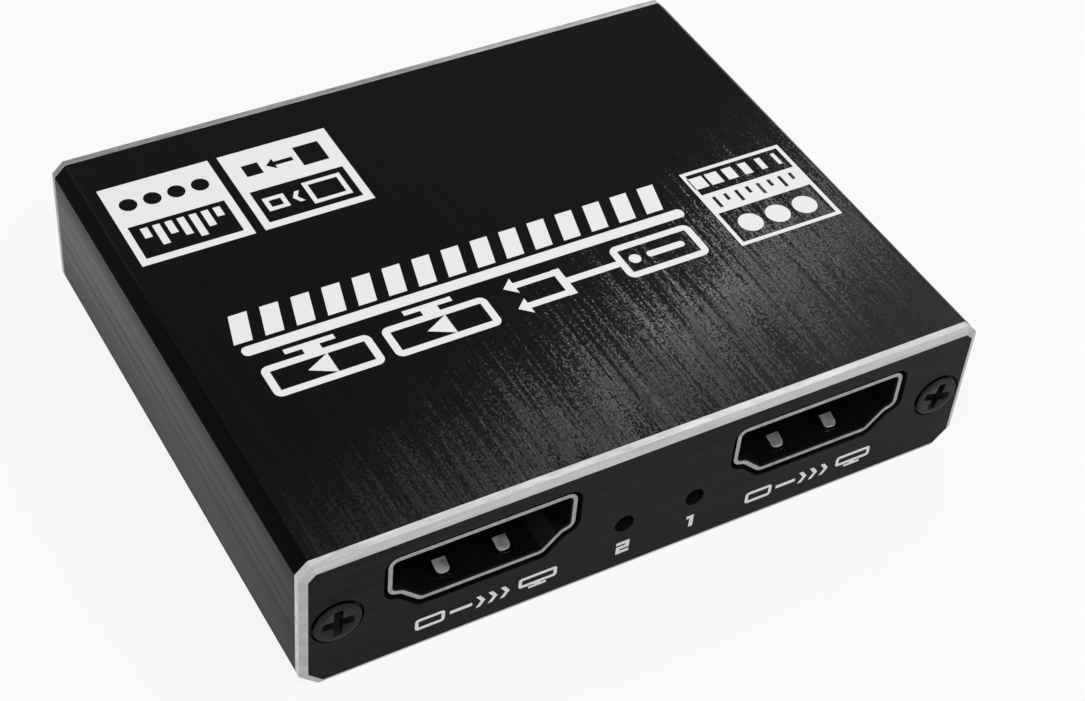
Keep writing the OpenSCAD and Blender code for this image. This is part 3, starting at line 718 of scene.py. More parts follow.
class Repeater:
    """Geometry Nodes tree that sets copies of a shape on points and joins them into a mesh, with painted
    shade on the recess faces that the copies flag.
    """

    TURN = "turn"
    SHADED_HOLLOW = "hollow"
    INPUTS = {
        "Seats": "NodeSocketGeometry",
        "Shape": "NodeSocketObject",
        "Finish": "NodeSocketMaterial",
        "Hollow Finish": "NodeSocketMaterial",
    }

    def __init__(self, name: str) -> None:
        """Builds the tree.

        Args:
            name: name of the tree.
        """
        self.tree = bpy.data.node_groups.new(name, "GeometryNodeTree")
        sockets = self.tree.interface
        self.keys = {
            label: sockets.new_socket(label, in_out="INPUT", socket_type=kind).identifier
            for label, kind in self.INPUTS.items()
        }
        sockets.new_socket("Copies", in_out="OUTPUT", socket_type="NodeSocketGeometry")
        sheet = NodeSheet(self.tree)
        given = sheet.add("NodeGroupInput").outputs
        shape = sheet.add("GeometryNodeObjectInfo", {"Object": given["Shape"], "As Instance": True})
        turn = sheet.add("GeometryNodeInputNamedAttribute", {"Name": self.TURN}, data_type="FLOAT_VECTOR")
        angle = sheet.add("FunctionNodeEulerToRotation", {0: turn.outputs["Attribute"]})
        feeds = {
            "Points": given["Seats"],
            "Instance": shape.outputs["Geometry"],
            "Rotation": angle.outputs[0],
        }
        copies = sheet.add("GeometryNodeInstanceOnPoints", feeds)
        joined = sheet.add("GeometryNodeRealizeInstances", {"Geometry": copies.outputs["Instances"]})
        # Flagged recess faces get the painted-shade material over the copies' own finish.
        hollow = sheet.add("GeometryNodeInputNamedAttribute", {"Name": self.SHADED_HOLLOW}, data_type="BOOLEAN")
        dressed = joined.outputs["Geometry"]
        for label, choice in (("Finish", True), ("Hollow Finish", hollow.outputs["Attribute"])):
            feeds = {"Geometry": dressed, "Selection": choice, "Material": given[label]}
            dressed = sheet.add("GeometryNodeSetMaterial", feeds).outputs["Geometry"]
        sheet.add("NodeGroupOutput", {"Copies": dressed})

    def mesh(
        self, name: str, shape: bmesh.types.BMesh, finish: Finish, seats: Sequence[Seat]
    ) -> bpy.types.Mesh:
        """Makes the joined mesh of all copies.

        Args:
            name: name of the mesh.
            shape: the shape at the origin, which is used up.
            finish: the copies' finish.
            seats: where the copies go.

        Returns:
            A plain mesh in the shared frame.
        """
        pattern = bpy.data.meshes.new(name + "_shape")
        shape.to_mesh(pattern)
        shape.free()
        points = bpy.data.meshes.new(name + "_seats")
        points.from_pydata([[c * MM for c in seat.place] for seat in seats], [], [])
        turns = points.attributes.new(self.TURN, "FLOAT_VECTOR", "POINT")
        for row, seat in zip(turns.data, seats):
            row.vector = [math.radians(a) for a in seat.turn]
        model, carrier = linked(pattern.name, pattern), linked(points.name, points)
        modifier = carrier.modifiers.new("copies", "NODES")
        modifier.node_group = self.tree
        modifier[self.keys["Shape"]] = model
        modifier[self.keys["Finish"]] = finish.material()
        # The flagged recess faces get the near-black painted shade.
        modifier[self.keys["Hollow Finish"]] = HOLLOW_PAINTED_SHADE.material()
        graph = bpy.context.evaluated_depsgraph_get()
        result = bpy.data.meshes.new_from_object(carrier.evaluated_get(graph), depsgraph=graph)
        result.name = name
        carrier.modifiers.remove(modifier)
        for helper in (carrier, model):
            data = helper.data
            bpy.data.objects.remove(helper)
            bpy.data.meshes.remove(data)
        return result


@dataclass
class Case:
    """Sleeve and end plates."""

    half_w: float = HALF_WIDTH
    height: float = TOP
    top_chamfer: float = 0.95
    base_chamfer: float = 1.5
    rim: float = 0.6
    edge_reach: float = 0.05
    sleeve_round: float = 0.1
    # Leans that split the sleeve's faces into the side copy, with painted reflection and shade, and the
    # chamfer copy, with painted shade.
    sleeve_leans: Point = (0.3, 0.95)
    plate_round: float = 0.06
    plate_leans: Point = (0.5, 0.97)
    # The front rim's finish paints the lamps' highlight, and the rear rim's paints shade.
    plates: tuple[tuple[str, Finish], ...] = (("front_plate", FRONT_EDGE_PAINTED_LIGHT), ("rear_plate", REAR_EDGE_PAINTED_SHADE))

    def build(self) -> None:
        """Builds the sleeve and both plates."""
        self._sleeve()
        for plate, edge in self.plates:
            self._plate(plate, edge)

    def _outside(self, place: Vector, reach: float) -> bool:
        """Says whether a place lies within reach of the case's outline.

        Args:
            place: the place in millimetres.
            reach: distance inwards from the outline.

        Returns:
            True near the outline.
        """
        side, z = abs(place.x), place.z
        slope = reach * math.sqrt(2)
        return (
            side > self.half_w - reach
            or z < reach
            or z > self.height - reach
            or side + z > self.half_w + self.height - self.top_chamfer - slope
            or side - z > self.half_w - self.base_chamfer - slope
        )

    def _sleeve(self) -> None:
        """Rounds the long outer edges of the sleeve a little, and gives its sides and chamfers copies of the
        black finish that paint light and shade.
        """

        def long_edge(edge: bmesh.types.BMEdge) -> bool:
            """Chooses the outer edges that run from front to rear."""
            return abs(direction(edge).y) > STRAIGHT and self._outside(middle(edge), self.edge_reach)

        mesh = merged("sleeve")
        soften(mesh, self.sleeve_round, long_edge, segments=3)
        # Upright sides get the lighter copy with painted reflection and shade, and chamfers get the darker
        # copy with painted shade.
        sloped, upright = self.sleeve_leans
        for face in mesh.faces:
            lean = abs(face.normal.x)
            if lean > sloped and self._outside(face.calc_center_median() / MM, self.sleeve_round):
                face.material_index = 1 if lean > upright else 2
        finishes = [ANODISED_SLEEVE, SIDE_PAINTED_LIGHT_AND_SHADE, CHAMFER_PAINTED_SHADE]
        finished(mesh, "sleeve_skin", finishes, CASE_BODY, ["sleeve"])

    def _plate(self, node: str, edge: Finish) -> None:
        """Rounds a plate's edges and bares its cut rim.

        Args:
            node: name of the plate.
            edge: finish of the flat cut rim, a copy of the bare edge finish with painted light on the front
                plate and painted shade on the rear.
        """
        mesh = merged(node)
        soften(mesh, self.plate_round)
        cut, facing = self.plate_leans
        for face in mesh.faces:
            lean = abs(face.normal.y)
            if lean < facing and self._outside(face.calc_center_median() / MM, self.rim):
                face.material_index = 1 if lean < cut else 2
        finishes = [PLATE_WITH_PAINTED_LIGHT_AND_SHADE, edge, BARE_BEVEL]
        finished(mesh, node + "_skin", finishes, CASE_BODY, [node])


@dataclass
class Screws:
    """The four countersunk cross-recess screws of the end plates."""

    axis_x: float = 25.7
    axis_z: float = TOP / 2
    face_y: float = FACE_Y
    edge_round: float = 0.04
    smooth_turn: float = 40.0
    cross_reach: float = 1.4
    cross_span: Point = (-0.1, 0.7)
    inward_turn: float = 0.01
    spins: tuple[float, ...] = (2.0, 17.0, -31.0, 8.0)

    def _in_cross(self, face: bmesh.types.BMFace) -> bool:
        """Says whether a face of the screw at the origin lies inside its cross recess.

        Args:
            face: the face.

        Returns:
            True inside the recess.
        """
        place = face.calc_center_median() / MM
        out = Vector((place.x, 0.0, place.z))
        crest, floor = self.cross_span
        sunk = crest < place.y < floor and out.length < self.cross_reach
        return sunk and (face.normal.y < -STRAIGHT or face.normal.dot(out) < self.inward_turn)

    def build(self) -> None:
        """Copies a screw onto its four seats."""
        shape = merged("front_screws")
        spare = [v for v in shape.verts if v.co.x < 0]
        bmesh.ops.delete(shape, geom=spare, context="VERTS")
        soften(shape, self.edge_round)
        for edge in shape.edges:
            edge.smooth = edge.calc_face_angle(0.0) < math.radians(self.smooth_turn)
        shift = Vector((-self.axis_x, self.face_y, -self.axis_z)) * MM
        bmesh.ops.translate(shape, verts=shape.verts, vec=shift)
        # Faces inside the cross recess are flagged for painted shade, which the repeater gives them.
        hollow = shape.faces.layers.bool.new(Repeater.SHADED_HOLLOW)
        for face in shape.faces:
            face.smooth = True
            face[hollow] = self._in_cross(face)
        seats = [
            Seat((side * self.axis_x, end * self.face_y, self.axis_z), (0.0, spin, 90.0 + 90.0 * end))
            for (end, side), spin in zip(((-1, -1), (-1, 1), (1, -1), (1, 1)), self.spins)
        ]
        data = Repeater("screws_on_seats").mesh("plate_screws", shape, SCREW_BLACK, seats)
        placed(data, "plate_screws", CASE_BODY, ["front_screws", "rear_screws"])


@dataclass
class Sockets:
    """Shells of the video sockets and the power socket, with their insulators and contacts."""

    roundings: tuple[tuple[str, float], ...] = (
        ("output_1", 0.1), ("output_2", 0.1), ("input", 0.1), ("power", 0.06),
    )
    finger_tip: float = 1.05
    finger_crest: float = 2.15
    finger_slope: float = 0.05
    tip_round: float = 0.42
    # Least turn towards the socket's axis for a face to get painted shade as an inside face.
    inside_turn: float = 0.2
    lead_in: float = 0.11
    sheet_turn: float = 50.0
    near: float = 0.02

    def build(self) -> None:
        """Rounds the shells' sheet edges and dresses what they hold."""
        for name, width in self.roundings:
            self._shell(name, width)
            dress(name + "_insulator", BLACK_MOULDED)
            dress(name + "_contacts", GILT)

    def _shell(self, name: str, width: float) -> None:
        """Makes a shell with rounded sheet edges, painted shade on its inside faces and painted light on the
        spring fingers.

        Args:
            name: which socket.
            width: width of the rounding.
        """
        low, high = corners(name + "_insulator")
        centre = (low + high) / 2
        mouth = max(abs(corner.y) for corner in corners(name + "_shell"))

        def faces_in(face: bmesh.types.BMFace, place: Vector) -> bool:
            """Says whether a face at a place in millimetres looks to the socket's axis."""
            inwards = Vector((centre.x - place.x, 0.0, centre.z - place.z)).normalized()
            return face.normal.dot(inwards) > self.inside_turn

        def finger_tip(edge: bmesh.types.BMEdge) -> bool:
            """Chooses the upright edges at the tips of the spring fingers."""
            depth = mouth - abs(middle(edge).y)
            return abs(direction(edge).z) > STRAIGHT and abs(depth - self.finger_tip) < self.near

        def mouth_edge(edge: bmesh.types.BMEdge) -> bool:
            """Chooses the inner edges of the mouth."""
            place = middle(edge)
            return mouth - abs(place.y) < self.near and any(faces_in(face, place) for face in edge.link_faces)

        mesh = merged(name + "_shell")
        soften(mesh, self.tip_round, finger_tip, segments=5)
        soften(mesh, self.lead_in, mouth_edge, segments=1, least_turn=self.sheet_turn)
        soften(mesh, width, least_turn=self.sheet_turn)
        # Inside faces get painted shade, and the spring fingers' sloped faces a lighter copy of the plating
        # that paints the light they catch.
        for face in mesh.faces:
            place = face.calc_center_median() / MM
            if faces_in(face, place):
                on_finger = self.lead_in * 2 < mouth - abs(place.y) < self.finger_crest
                face.material_index = 2 if on_finger and abs(face.normal.y) > self.finger_slope else 1
        finishes = [PLATED_SHELL, HOLLOW_PAINTED_SHADE, FINGER_PAINTED_LIGHT]
        finished(mesh, name + "_shell_skin", finishes, CASE_BODY, [name + "_shell"])


@dataclass
class ModeSwitch:
    """Bank of four slides at the rear."""

    slides: tuple[int, ...] = (1, 2, 3, 4)
    edge_round: float = 0.09

    def build(self) -> None:
        """Rounds the cover and the sliders, and dresses the rest."""
        self._moulding("switch_cover", BLACK_MOULDED, CASE_BODY)
        for number in self.slides:
            self._moulding(f"slider_{number}", WHITE_MOULDED, f"slide_{number}")
            dress(f"wiper_{number}", GILT)
        dress("switch_body", BLACK_MOULDED)
        dress("switch_contacts", GILT)

    def _moulding(self, node: str, finish: Finish, body: str) -> None:
        """Makes a moulded piece with rounded edges.

        Args:
            node: CAD node that it stands for.
            finish: its finish.
            body: CAD body that it rides on.
        """
        mesh = merged(node)
        soften(mesh, self.edge_round)
        finished(mesh, node + "_skin", [finish], body, [node])


@dataclass
class Inside:
    """Board, lights and electronics, which keep their CAD shapes."""

    finishes: tuple[tuple[Finish, tuple[str, ...]], ...] = (
        (BOARD_MASK, ("circuit_board",)),
        (LIGHT_LENS, ("output_1_light", "output_2_light", "power_light")),
        (CHIP_BODY, ("splitter_chip", "controller_chip", "memory_chip", "step_down_regulator")),
        (CHIP_BODY, ("linear_regulator", "surge_arrays", "resistors", "inductor")),
        (PAD_RUBBER, ("thermal_pad",)),
        (LEAD_METAL, ("chip_leads", "crystal")),
        (CERAMIC, ("bulk_capacitors", "ceramic_capacitors")),
    )

    def build(self) -> None:
        """Dresses each node."""
        for finish, nodes in self.finishes:
            for node in nodes:
                dress(node, finish)


def circle(x: float, y: float, radius: float, sides: int = 28) -> list[Point]:
    """Gives the points of a circle, anticlockwise."""
    turn = 2 * math.pi / sides
    return [(x + radius * math.cos(turn * i), y + radius * math.sin(turn * i)) for i in range(sides)]


def round_box(box: Box, radius: float = 0.0, steps: int = 5) -> list[Point]:
    """Gives the outline of a box, anticlockwise.

    Args:
        box: its left, lower, right and upper sides.
        radius: corner radius, or 0 for square corners.
        steps: edges in one round corner.

    Returns:
        The points.
    """
    left, low, right, high = box
    if not radius:
        return [(left, low), (right, low), (right, high), (left, high)]
    centres = (
        (right - radius, low + radius, -90),
        (right - radius, high - radius, 0),
        (left + radius, high - radius, 90),
        (left + radius, low + radius, 180),
    )
    points = []
    for x, y, start in centres:
        for i in range(steps + 1):
            turn = math.radians(start + 90 * i / steps)
            points.append((x + radius * math.cos(turn), y + radius * math.sin(turn)))
    return points


@dataclass
class PrintSheet:
    """Flat marks on one face, drawn in millimetres to the right and upwards as the face is read."""

    LEAST_ROUND = 0.02
    ARROW_SHAFT = 0.17
    ARROW_HEAD = 0.55
    SCREEN_FOOT = 0.24
    SCREEN_STAND = 0.8
    POST_SIDES = (0.42, 0.58)
    STAND_SIDES = (0.27, 0.73)
    NUMERAL_STROKE = 0.24
    NUMERAL_WIDTH = 0.9
    NUMERAL_POST = 1.1
    NUMERAL_STEM = 1.2
    STEM_PLACE = 0.36
    FLAG_PLACE = 0.12

    name: str
    origin: Vector
    right: Vector
    up: Vector
    proud: float = 0.012
    sunk: float = 0.01
    mesh: bmesh.types.BMesh = field(default_factory=bmesh.new)

    def _points(self, line: Sequence[Point], level: float) -> list[bmesh.types.BMVert]:
        """Adds the points of an outline at a level above the face."""
        base = self.origin + self.right.cross(self.up) * level
        return [self.mesh.verts.new((base + self.right * x + self.up * y) * MM) for x, y in line]

    def _wall(self, low: Sequence[bmesh.types.BMVert], high: Sequence[bmesh.types.BMVert]) -> None:
        """Closes the side between two loops of points."""
        for i in range(len(low)):
            self.mesh.faces.new((low[i - 1], low[i], high[i], high[i - 1]))

    def shape(self, outline: Sequence[Point]) -> None:
        """Draws a filled outline.

        Args:
            outline: its points, anticlockwise.
        """
        low, high = self._points(outline, -self.sunk), self._points(outline, self.proud)
        self.mesh.faces.new(high)
        self.mesh.faces.new(low[::-1])
        self._wall(low, high)

    def ring(self, outer: Sequence[Point], inner: Sequence[Point]) -> None:
        """Draws the area between two outlines with as many points each.

        Args:
            outer: outer outline, anticlockwise.
            inner: inner outline, anticlockwise.
        """
        low_out, high_out = self._points(outer, -self.sunk), self._points(outer, self.proud)
        low_in, high_in = self._points(inner, -self.sunk), self._points(inner, self.proud)
        for low, high in ((low_out, high_out), (high_in, low_in), (high_out, high_in), (low_in, low_out)):
            self._wall(low, high)

    def bar(self, box: Box, radius: float = 0.0) -> None:
        """Draws a filled box, with round corners if it has a radius."""
        self.shape(round_box(box, radius))

    def bars(self, first: Point, pitch: float, sizes: Iterable[Point]) -> None:
        """Draws a row of filled boxes that stand on one line.

        Args:
            first: lower left corner of the first.
            pitch: step from one left side to the next.
            sizes: width and height of each.
        """
        left, low = first
        for width, height in sizes:
            self.bar((left, low, left + width, low + height))
            left += pitch

    def frame(self, box: Box, line: float, radius: float = 0.0) -> None:
        """Draws the outline of a box.

        Args:
            box: its left, lower, right and upper sides.
            line: width of the line.
            radius: corner radius, or 0 for square corners.
        """
        left, low, right, high = box
        window = (left + line, low + line, right - line, high - line)
        inner = max(radius - line, self.LEAST_ROUND) if radius else 0.0
        self.ring(round_box(box, radius), round_box(window, inner))

    def discs(self, first: Place, pitch: float = 0.0, count: int = 1) -> None:
        """Draws a row of filled circles.

        Args:
            first: middle and radius of the first.
            pitch: step from one to the next.
            count: how many.
        """
        x, y, radius = first
        for i in range(count):
            self.shape(circle(x + pitch * i, y, radius))

    def arrow(self, tail: Point, size: Point) -> None:
        """Draws an arrow that points to the right.

        Args:
            tail: end of its shaft.
            size: its length and height.
        """
        (x, y), (length, height) = tail, size
        shaft, half = height * self.ARROW_SHAFT, height / 2
        neck = x + length - height * self.ARROW_HEAD
        self.shape(
            [(x, y - shaft), (neck, y - shaft), (neck, y - half), (x + length, y),
             (neck, y + half), (neck, y + shaft), (x, y + shaft)]
        )

    def chevron(self, place: Point, size: Point, line: float) -> None:
        """Draws an open arrowhead that points to the right.

        Args:
            place: middle of its left side.
            size: its width and height.
            line: width of its line.
        """
        (x, y), (width, height) = place, size
        tip, half = x + width, height / 2
        self.shape(
            [(x, y - half), (x + line, y - half), (tip + line / 2, y),
             (x + line, y + half), (x, y + half), (tip - line / 2, y)]
        )

    def screen(self, place: Point, size: Point, line: float) -> None:
        """Draws a screen on a foot.

        Args:
            place: lower left corner.
            size: width and height, with the foot.
            line: width of the lines.
        """
        (x, y), (width, height) = place, size
        foot, stand = y + height * self.SCREEN_FOOT, y + line * self.SCREEN_STAND
        self.frame((x, foot, x + width, y + height), line, line)
        for (left, right), low, high in ((self.POST_SIDES, stand, foot), (self.STAND_SIDES, y, stand)):
            self.bar((x + width * left, low, x + width * right, high))

    def numeral(self, digit: int, place: Point, height: float) -> None:
        """Draws a block numeral.

        Args:
            digit: 1, 2, 3 or 4.
            place: lower left corner.
            height: height of the numeral.
        """
        x, y = place
        stroke, wide = height * self.NUMERAL_STROKE, height * self.NUMERAL_WIDTH
        post = stroke * self.NUMERAL_POST
        inner = wide - post
        flag, stem = wide * self.FLAG_PLACE, wide * self.STEM_PLACE
        side = stem + stroke * self.NUMERAL_STEM
        level = (0.0, stroke, (height - stroke) / 2, (height + stroke) / 2, height - stroke, height)
        outlines = {
            1: ((stem, 0), (side, 0), (side, 5), (flag, 5), (flag, 4), (stem, 4)),
            2: ((0, 0), (wide, 0), (wide, 1), (post, 1), (post, 2), (wide, 2),
                (wide, 5), (0, 5), (0, 4), (inner, 4), (inner, 3), (0, 3)),
            3: ((0, 0), (wide, 0), (wide, 5), (0, 5), (0, 4), (inner, 4),
                (inner, 3), (0, 3), (0, 2), (inner, 2), (inner, 1), (0, 1)),
            4: ((inner, 0), (wide, 0), (wide, 5), (inner, 5), (inner, 3),
                (post, 3), (post, 5), (0, 5), (0, 2), (inner, 2)),
        }
        self.shape([(x + across, y + level[step]) for across, step in outlines[digit]])

    def finish(self, ink: Finish, slot: str) -> None:
        """Makes the piece."""
        finished(self.mesh, self.name, [ink], CASE_BODY)


@dataclass(frozen=True)
class SignalRow:
    """A source box whose line forks to two screens."""

    source: Box = (-14.0, 3.95, -6.6, 7.75)
    source_line: float = 0.6
    source_round: float = 0.7
    slit: Box = (-12.6, 5.5, -9.2, 6.15)
    slit_round: float = 0.3
    lamp: Place = (-8.1, 5.82, 0.5)
    branches: tuple[Box, ...] = ((-6.6, 5.5, -2.1, 6.15), (-2.1, 4.3, -1.4, 7.35))
    arrows: tuple[Point, ...] = ((-1.4, 4.625), (-1.4, 7.025))
    arrow_size: Point = (4.3, 1.75)
    screens: tuple[Point, ...] = ((4.6, 3.6), (14.3, 3.6))
    screen_size: Point = (8.8, 4.35)
    screen_line: float = 0.62
    play_mark: tuple[Point, ...] = ((3.6, 1.65), (5.6, 2.7), (3.6, 3.75))

    def draw(self, white: PrintSheet, gaps: PrintSheet) -> None:
        """Draws the row.

        Args:
            white: sheet of the white marks.
            gaps: sheet of the dark marks, which the row doesn't use.
        """
        white.frame(self.source, self.source_line, self.source_round)
        white.bar(self.slit, self.slit_round)
        white.discs(self.lamp)
        for box in self.branches:
            white.bar(box)
        for tail in self.arrows:
            white.arrow(tail, self.arrow_size)
        for left, low in self.screens:
            white.screen((left, low), self.screen_size, self.screen_line)
            white.shape([(left + x, low + y) for x, y in self.play_mark])


@dataclass(frozen=True)
class LevelBadge:
    """A badge with level bars over a row of dots."""

    outer: Box = (17.2, -18.6, 26.5, -9.0)
    window: Box = (17.9, -13.6, 25.9, -9.7)
    bar_first: Point = (18.5, -13.1)
    bar_pitch: float = 1.0
    bar_width: float = 0.6
    bar_heights: tuple[float, ...] = (1.1, 1.9, 2.7, 2.1, 1.5, 2.4, 1.2)
    dot: Place = (18.85, -16.1, 0.72)
    dot_pitch: float = 2.0
    dot_count: int = 4

    def draw(self, white: PrintSheet, gaps: PrintSheet) -> None:
        """Draws the badge.

        Args:
            white: sheet of the white marks.
            gaps: sheet of the dark marks on them.
        """
        white.ring(round_box(self.outer), round_box(self.window))
        white.bars(self.bar_first, self.bar_pitch, [(self.bar_width, height) for height in self.bar_heights])
        gaps.discs(self.dot, self.dot_pitch, self.dot_count)


@dataclass(frozen=True)
class ScaleBadge:
    """A badge with a large screen that becomes a small one."""

    outer: Box = (7.0, -18.6, 16.4, -9.0)
    window: Box = (7.7, -13.6, 15.75, -9.7)
    outlines: tuple[Box, ...] = ((8.3, -13.0, 11.6, -10.3), (13.4, -12.5, 15.2, -10.9))
    line: float = 0.4
    chevron: Point = (12.1, -11.65)
    chevron_size: Point = (0.6, 1.3)
    blocks: tuple[Box, ...] = ((8.2, -17.3, 10.4, -14.9), (13.7, -16.8, 15.1, -15.4))
    arrow: Point = (10.9, -16.1)
    arrow_size: Point = (2.3, 1.3)

    def draw(self, white: PrintSheet, gaps: PrintSheet) -> None:
        """Draws the badge.

        Args:
            white: sheet of the white marks.
            gaps: sheet of the dark marks on them.
        """
        white.ring(round_box(self.outer), round_box(self.window))
        for box in self.outlines:
            white.frame(box, self.line)
        white.chevron(self.chevron, self.chevron_size, self.line)
        for box in self.blocks:
            gaps.bar(box)
        gaps.arrow(self.arrow, self.arrow_size)


@dataclass(frozen=True)
class ColourBadge:
    """An outlined badge with discs, a ticked band and steps of tone."""

    outer: Box = (-26.2, -1.4, -16.6, 8.1)
    line: float = 0.36
    disc: Place = (-24.0, 5.95, 1.05)
    disc_pitch: float = 2.6
    disc_count: int = 3
    band: Box = (-25.84, 1.55, -16.96, 4.0)
    tick_first: Point = (-25.2, 2.1)
    tick_pitch: float = 1.05
    ticks: tuple[Point, ...] = ((0.3, 0.8), (0.3, 1.35)) * 4
    step_first: Point = (-25.3, -0.6)
    step_pitch: float = 1.42
    step_height: float = 1.4
    step_widths: tuple[float, ...] = (0.35, 0.55, 0.75, 0.95, 1.15, 1.35)

    def draw(self, white: PrintSheet, gaps: PrintSheet) -> None:
        """Draws the badge.

        Args:
            white: sheet of the white marks.
            gaps: sheet of the dark marks on them.
        """
        white.frame(self.outer, self.line)
        white.discs(self.disc, self.disc_pitch, self.disc_count)
        white.bar(self.band)
        gaps.bars(self.tick_first, self.tick_pitch, self.ticks)
        white.bars(self.step_first, self.step_pitch, [(w, self.step_height) for w in self.step_widths])


TopMark = Union[SignalRow, LevelBadge, ScaleBadge, ColourBadge]


@dataclass
class TopPrint:
    """White print on the top, which reads upright from the rear."""

    top: float = TOP
    rule: Box = (-14.5, 2.15, 23.5, 3.15)
    rule_round: float = 0.45
    gap_lift: float = 0.012
    marks: tuple[TopMark, ...] = (SignalRow(), LevelBadge(), ScaleBadge(), ColourBadge())
    bar: tuple[Point, ...] = ((0.0, -1.3), (1.5, -1.3), (2.3, 1.7), (0.8, 1.7))
    bar_count: int = 15
    bar_start: float = -14.0
    bar_pitch: float = 2.53

    @staticmethod
    def _sheet(name: str, level: float) -> PrintSheet:
        """Starts a sheet that faces up at a level."""
        return PrintSheet(name, Vector((0, 0, level)), Vector((-1, 0, 0)), Vector((0, -1, 0)))

    def build(self) -> None:
        """Draws the rule, the signal row, the three badges and the bars."""
        white = self._sheet("top_print", self.top)
        gaps = self._sheet("top_print_gaps", self.top + self.gap_lift)
        white.bar(self.rule, self.rule_round)
        for mark in self.marks:
            mark.draw(white, gaps)
        white.finish(TOP_INK, "white_plastic")
        gaps.finish(ANODISED_SLEEVE, "anodised_black")
        self._bars()

    def _bars(self) -> None:
        """Repeats a slanted bar along the lower row."""
        pattern = self._sheet("bar", 0.0)
        pattern.shape(self.bar)
        seats = [Seat((-self.bar_start - self.bar_pitch * i, 0.0, self.top)) for i in range(self.bar_count)]
        data = Repeater("bars_in_a_row").mesh("top_print_bars", pattern.mesh, TOP_INK, seats)
        placed(data, "top_print_bars", CASE_BODY)


@dataclass(frozen=True)
class SignalMark:
    """A box, a line, arrowheads and a screen, at distances from the mark's left side."""

    box: float
    line: float
    heads: float
    screen: float
    low: float = 1.95
    height: float = 1.4
    stroke: float = 0.28
    box_width: float = 2.4
    box_inset: float = 0.1
    box_round: float = 0.3
    line_length: float = 1.8
    line_half: float = 0.16
    head_count: int = 3
    head_pitch: float = 1.0
    head_size: Point = (0.6, 1.2)
    head_line: float = 0.36
    screen_width: float = 3.2

    def draw(self, sheet: PrintSheet, left: float) -> None:
        """Draws the mark.

        Args:
            sheet: sheet of the plate.
            left: the mark's left side.
        """
        low, high, mid = self.low, self.low + self.height, self.low + self.height / 2
        x = left + self.box
        box = (x, low + self.box_inset, x + self.box_width, high - self.box_inset)
        sheet.frame(box, self.stroke, self.box_round)
        x = left + self.line
        sheet.bar((x, mid - self.line_half, x + self.line_length, mid + self.line_half))
        for i in range(self.head_count):
            place = (left + self.heads + self.head_pitch * i, mid)
            sheet.chevron(place, self.head_size, self.head_line)
        sheet.screen((left + self.screen, low), (self.screen_width, self.height), self.stroke)


@dataclass(frozen=True)
class OnMark:
    """The word ON and a pointer, over the slides."""

    left: float = -7.0
    low: float = 11.25
    height: float = 0.85
    line: float = 0.2
    ring_width: float = 0.9
    ring_round: float = 0.25
    posts: Point = (1.1, 1.75)
    slant: float = 0.3
    pointer: tuple[float, float, float] = (2.4, 2.8, 3.2)

    def draw(self, sheet: PrintSheet) -> None:
        """Draws the mark, with the second letter as one outline.

        Args:
            sheet: sheet of the rear plate.
        """
        left, low, high, line, slant = self.left, self.low, self.low + self.height, self.line, self.slant
        sheet.frame((left, low, left + self.ring_width, high), line, self.ring_round)
        first, second = (left + post for post in self.posts)
        sheet.shape(
            [(first, low), (first + line, low), (first + line, high - slant), (second, low),
             (second + line, low), (second + line, high), (second, high), (second, low + slant),
             (first + line, high), (first, high)]
        )
        start, tip, end = (left + x for x in self.pointer)
        sheet.shape([(start, low), (end, low), (tip, high)])


@dataclass
class PlatePrint:
    """White print on the two end plates."""

    face_y: float = FACE_Y
    output_mark: SignalMark = SignalMark(box=0.0, line=2.8, heads=4.9, screen=8.4)
    output_places: tuple[float, ...] = (-19.6, 8.5)
    light_numerals: tuple[tuple[int, Point], ...] = ((2, (-2.95, 1.95)), (1, (3.05, 1.95)))
    light_numeral_height: float = 1.25
    input_mark: SignalMark = SignalMark(box=9.2, line=7.0, heads=4.0, screen=0.0)
    input_place: float = 8.5
    slide_numerals: tuple[tuple[int, Point], ...] = (
        (1, (-5.91, 2.55)), (2, (-3.37, 2.55)), (3, (-0.83, 2.55)), (4, (1.71, 2.55)),
    )
    slide_numeral_height: float = 1.1
    on_mark: OnMark = OnMark()
    current_bar: Box = (-18.6, 3.0, -15.8, 3.28)
    dash_first: Point = (-18.6, 2.35)
    dash_pitch: float = 1.0
    dashes: tuple[Point, ...] = ((0.8, 0.28),) * 3
    power_middle: Point = (-10.4, 2.85)
    power_radii: Point = (0.62, 0.42)
    power_bar: Box = (-10.5, 2.85, -10.3, 3.75)

    def build(self) -> None:
        """Draws both plates' marks."""
        up = Vector((0, 0, 1))
        front = PrintSheet("front_print", Vector((0, -self.face_y, 0)), Vector((1, 0, 0)), up)
        for left in self.output_places:
            self.output_mark.draw(front, left)
        for digit, place in self.light_numerals:
            front.numeral(digit, place, self.light_numeral_height)
        front.finish(PLATE_INK_PAINTED_SHADE, "white_plastic")
        rear = PrintSheet("rear_print", Vector((0, self.face_y, 0)), Vector((-1, 0, 0)), up)
        self.input_mark.draw(rear, self.input_place)
        for digit, place in self.slide_numerals:
            rear.numeral(digit, place, self.slide_numeral_height)
        self.on_mark.draw(rear)
        self._power_marks(rear)
        rear.finish(PLATE_INK_PAINTED_SHADE, "white_plastic")

    def _power_marks(self, sheet: PrintSheet) -> None:
        """Draws a direct-current mark under the power socket and a power mark under its light.

        Args:
            sheet: sheet of the rear plate.
        """
        sheet.bar(self.current_bar)
        sheet.bars(self.dash_first, self.dash_pitch, self.dashes)
        sheet.ring(*(circle(*self.power_middle, radius) for radius in self.power_radii))
        sheet.bar(self.power_bar)


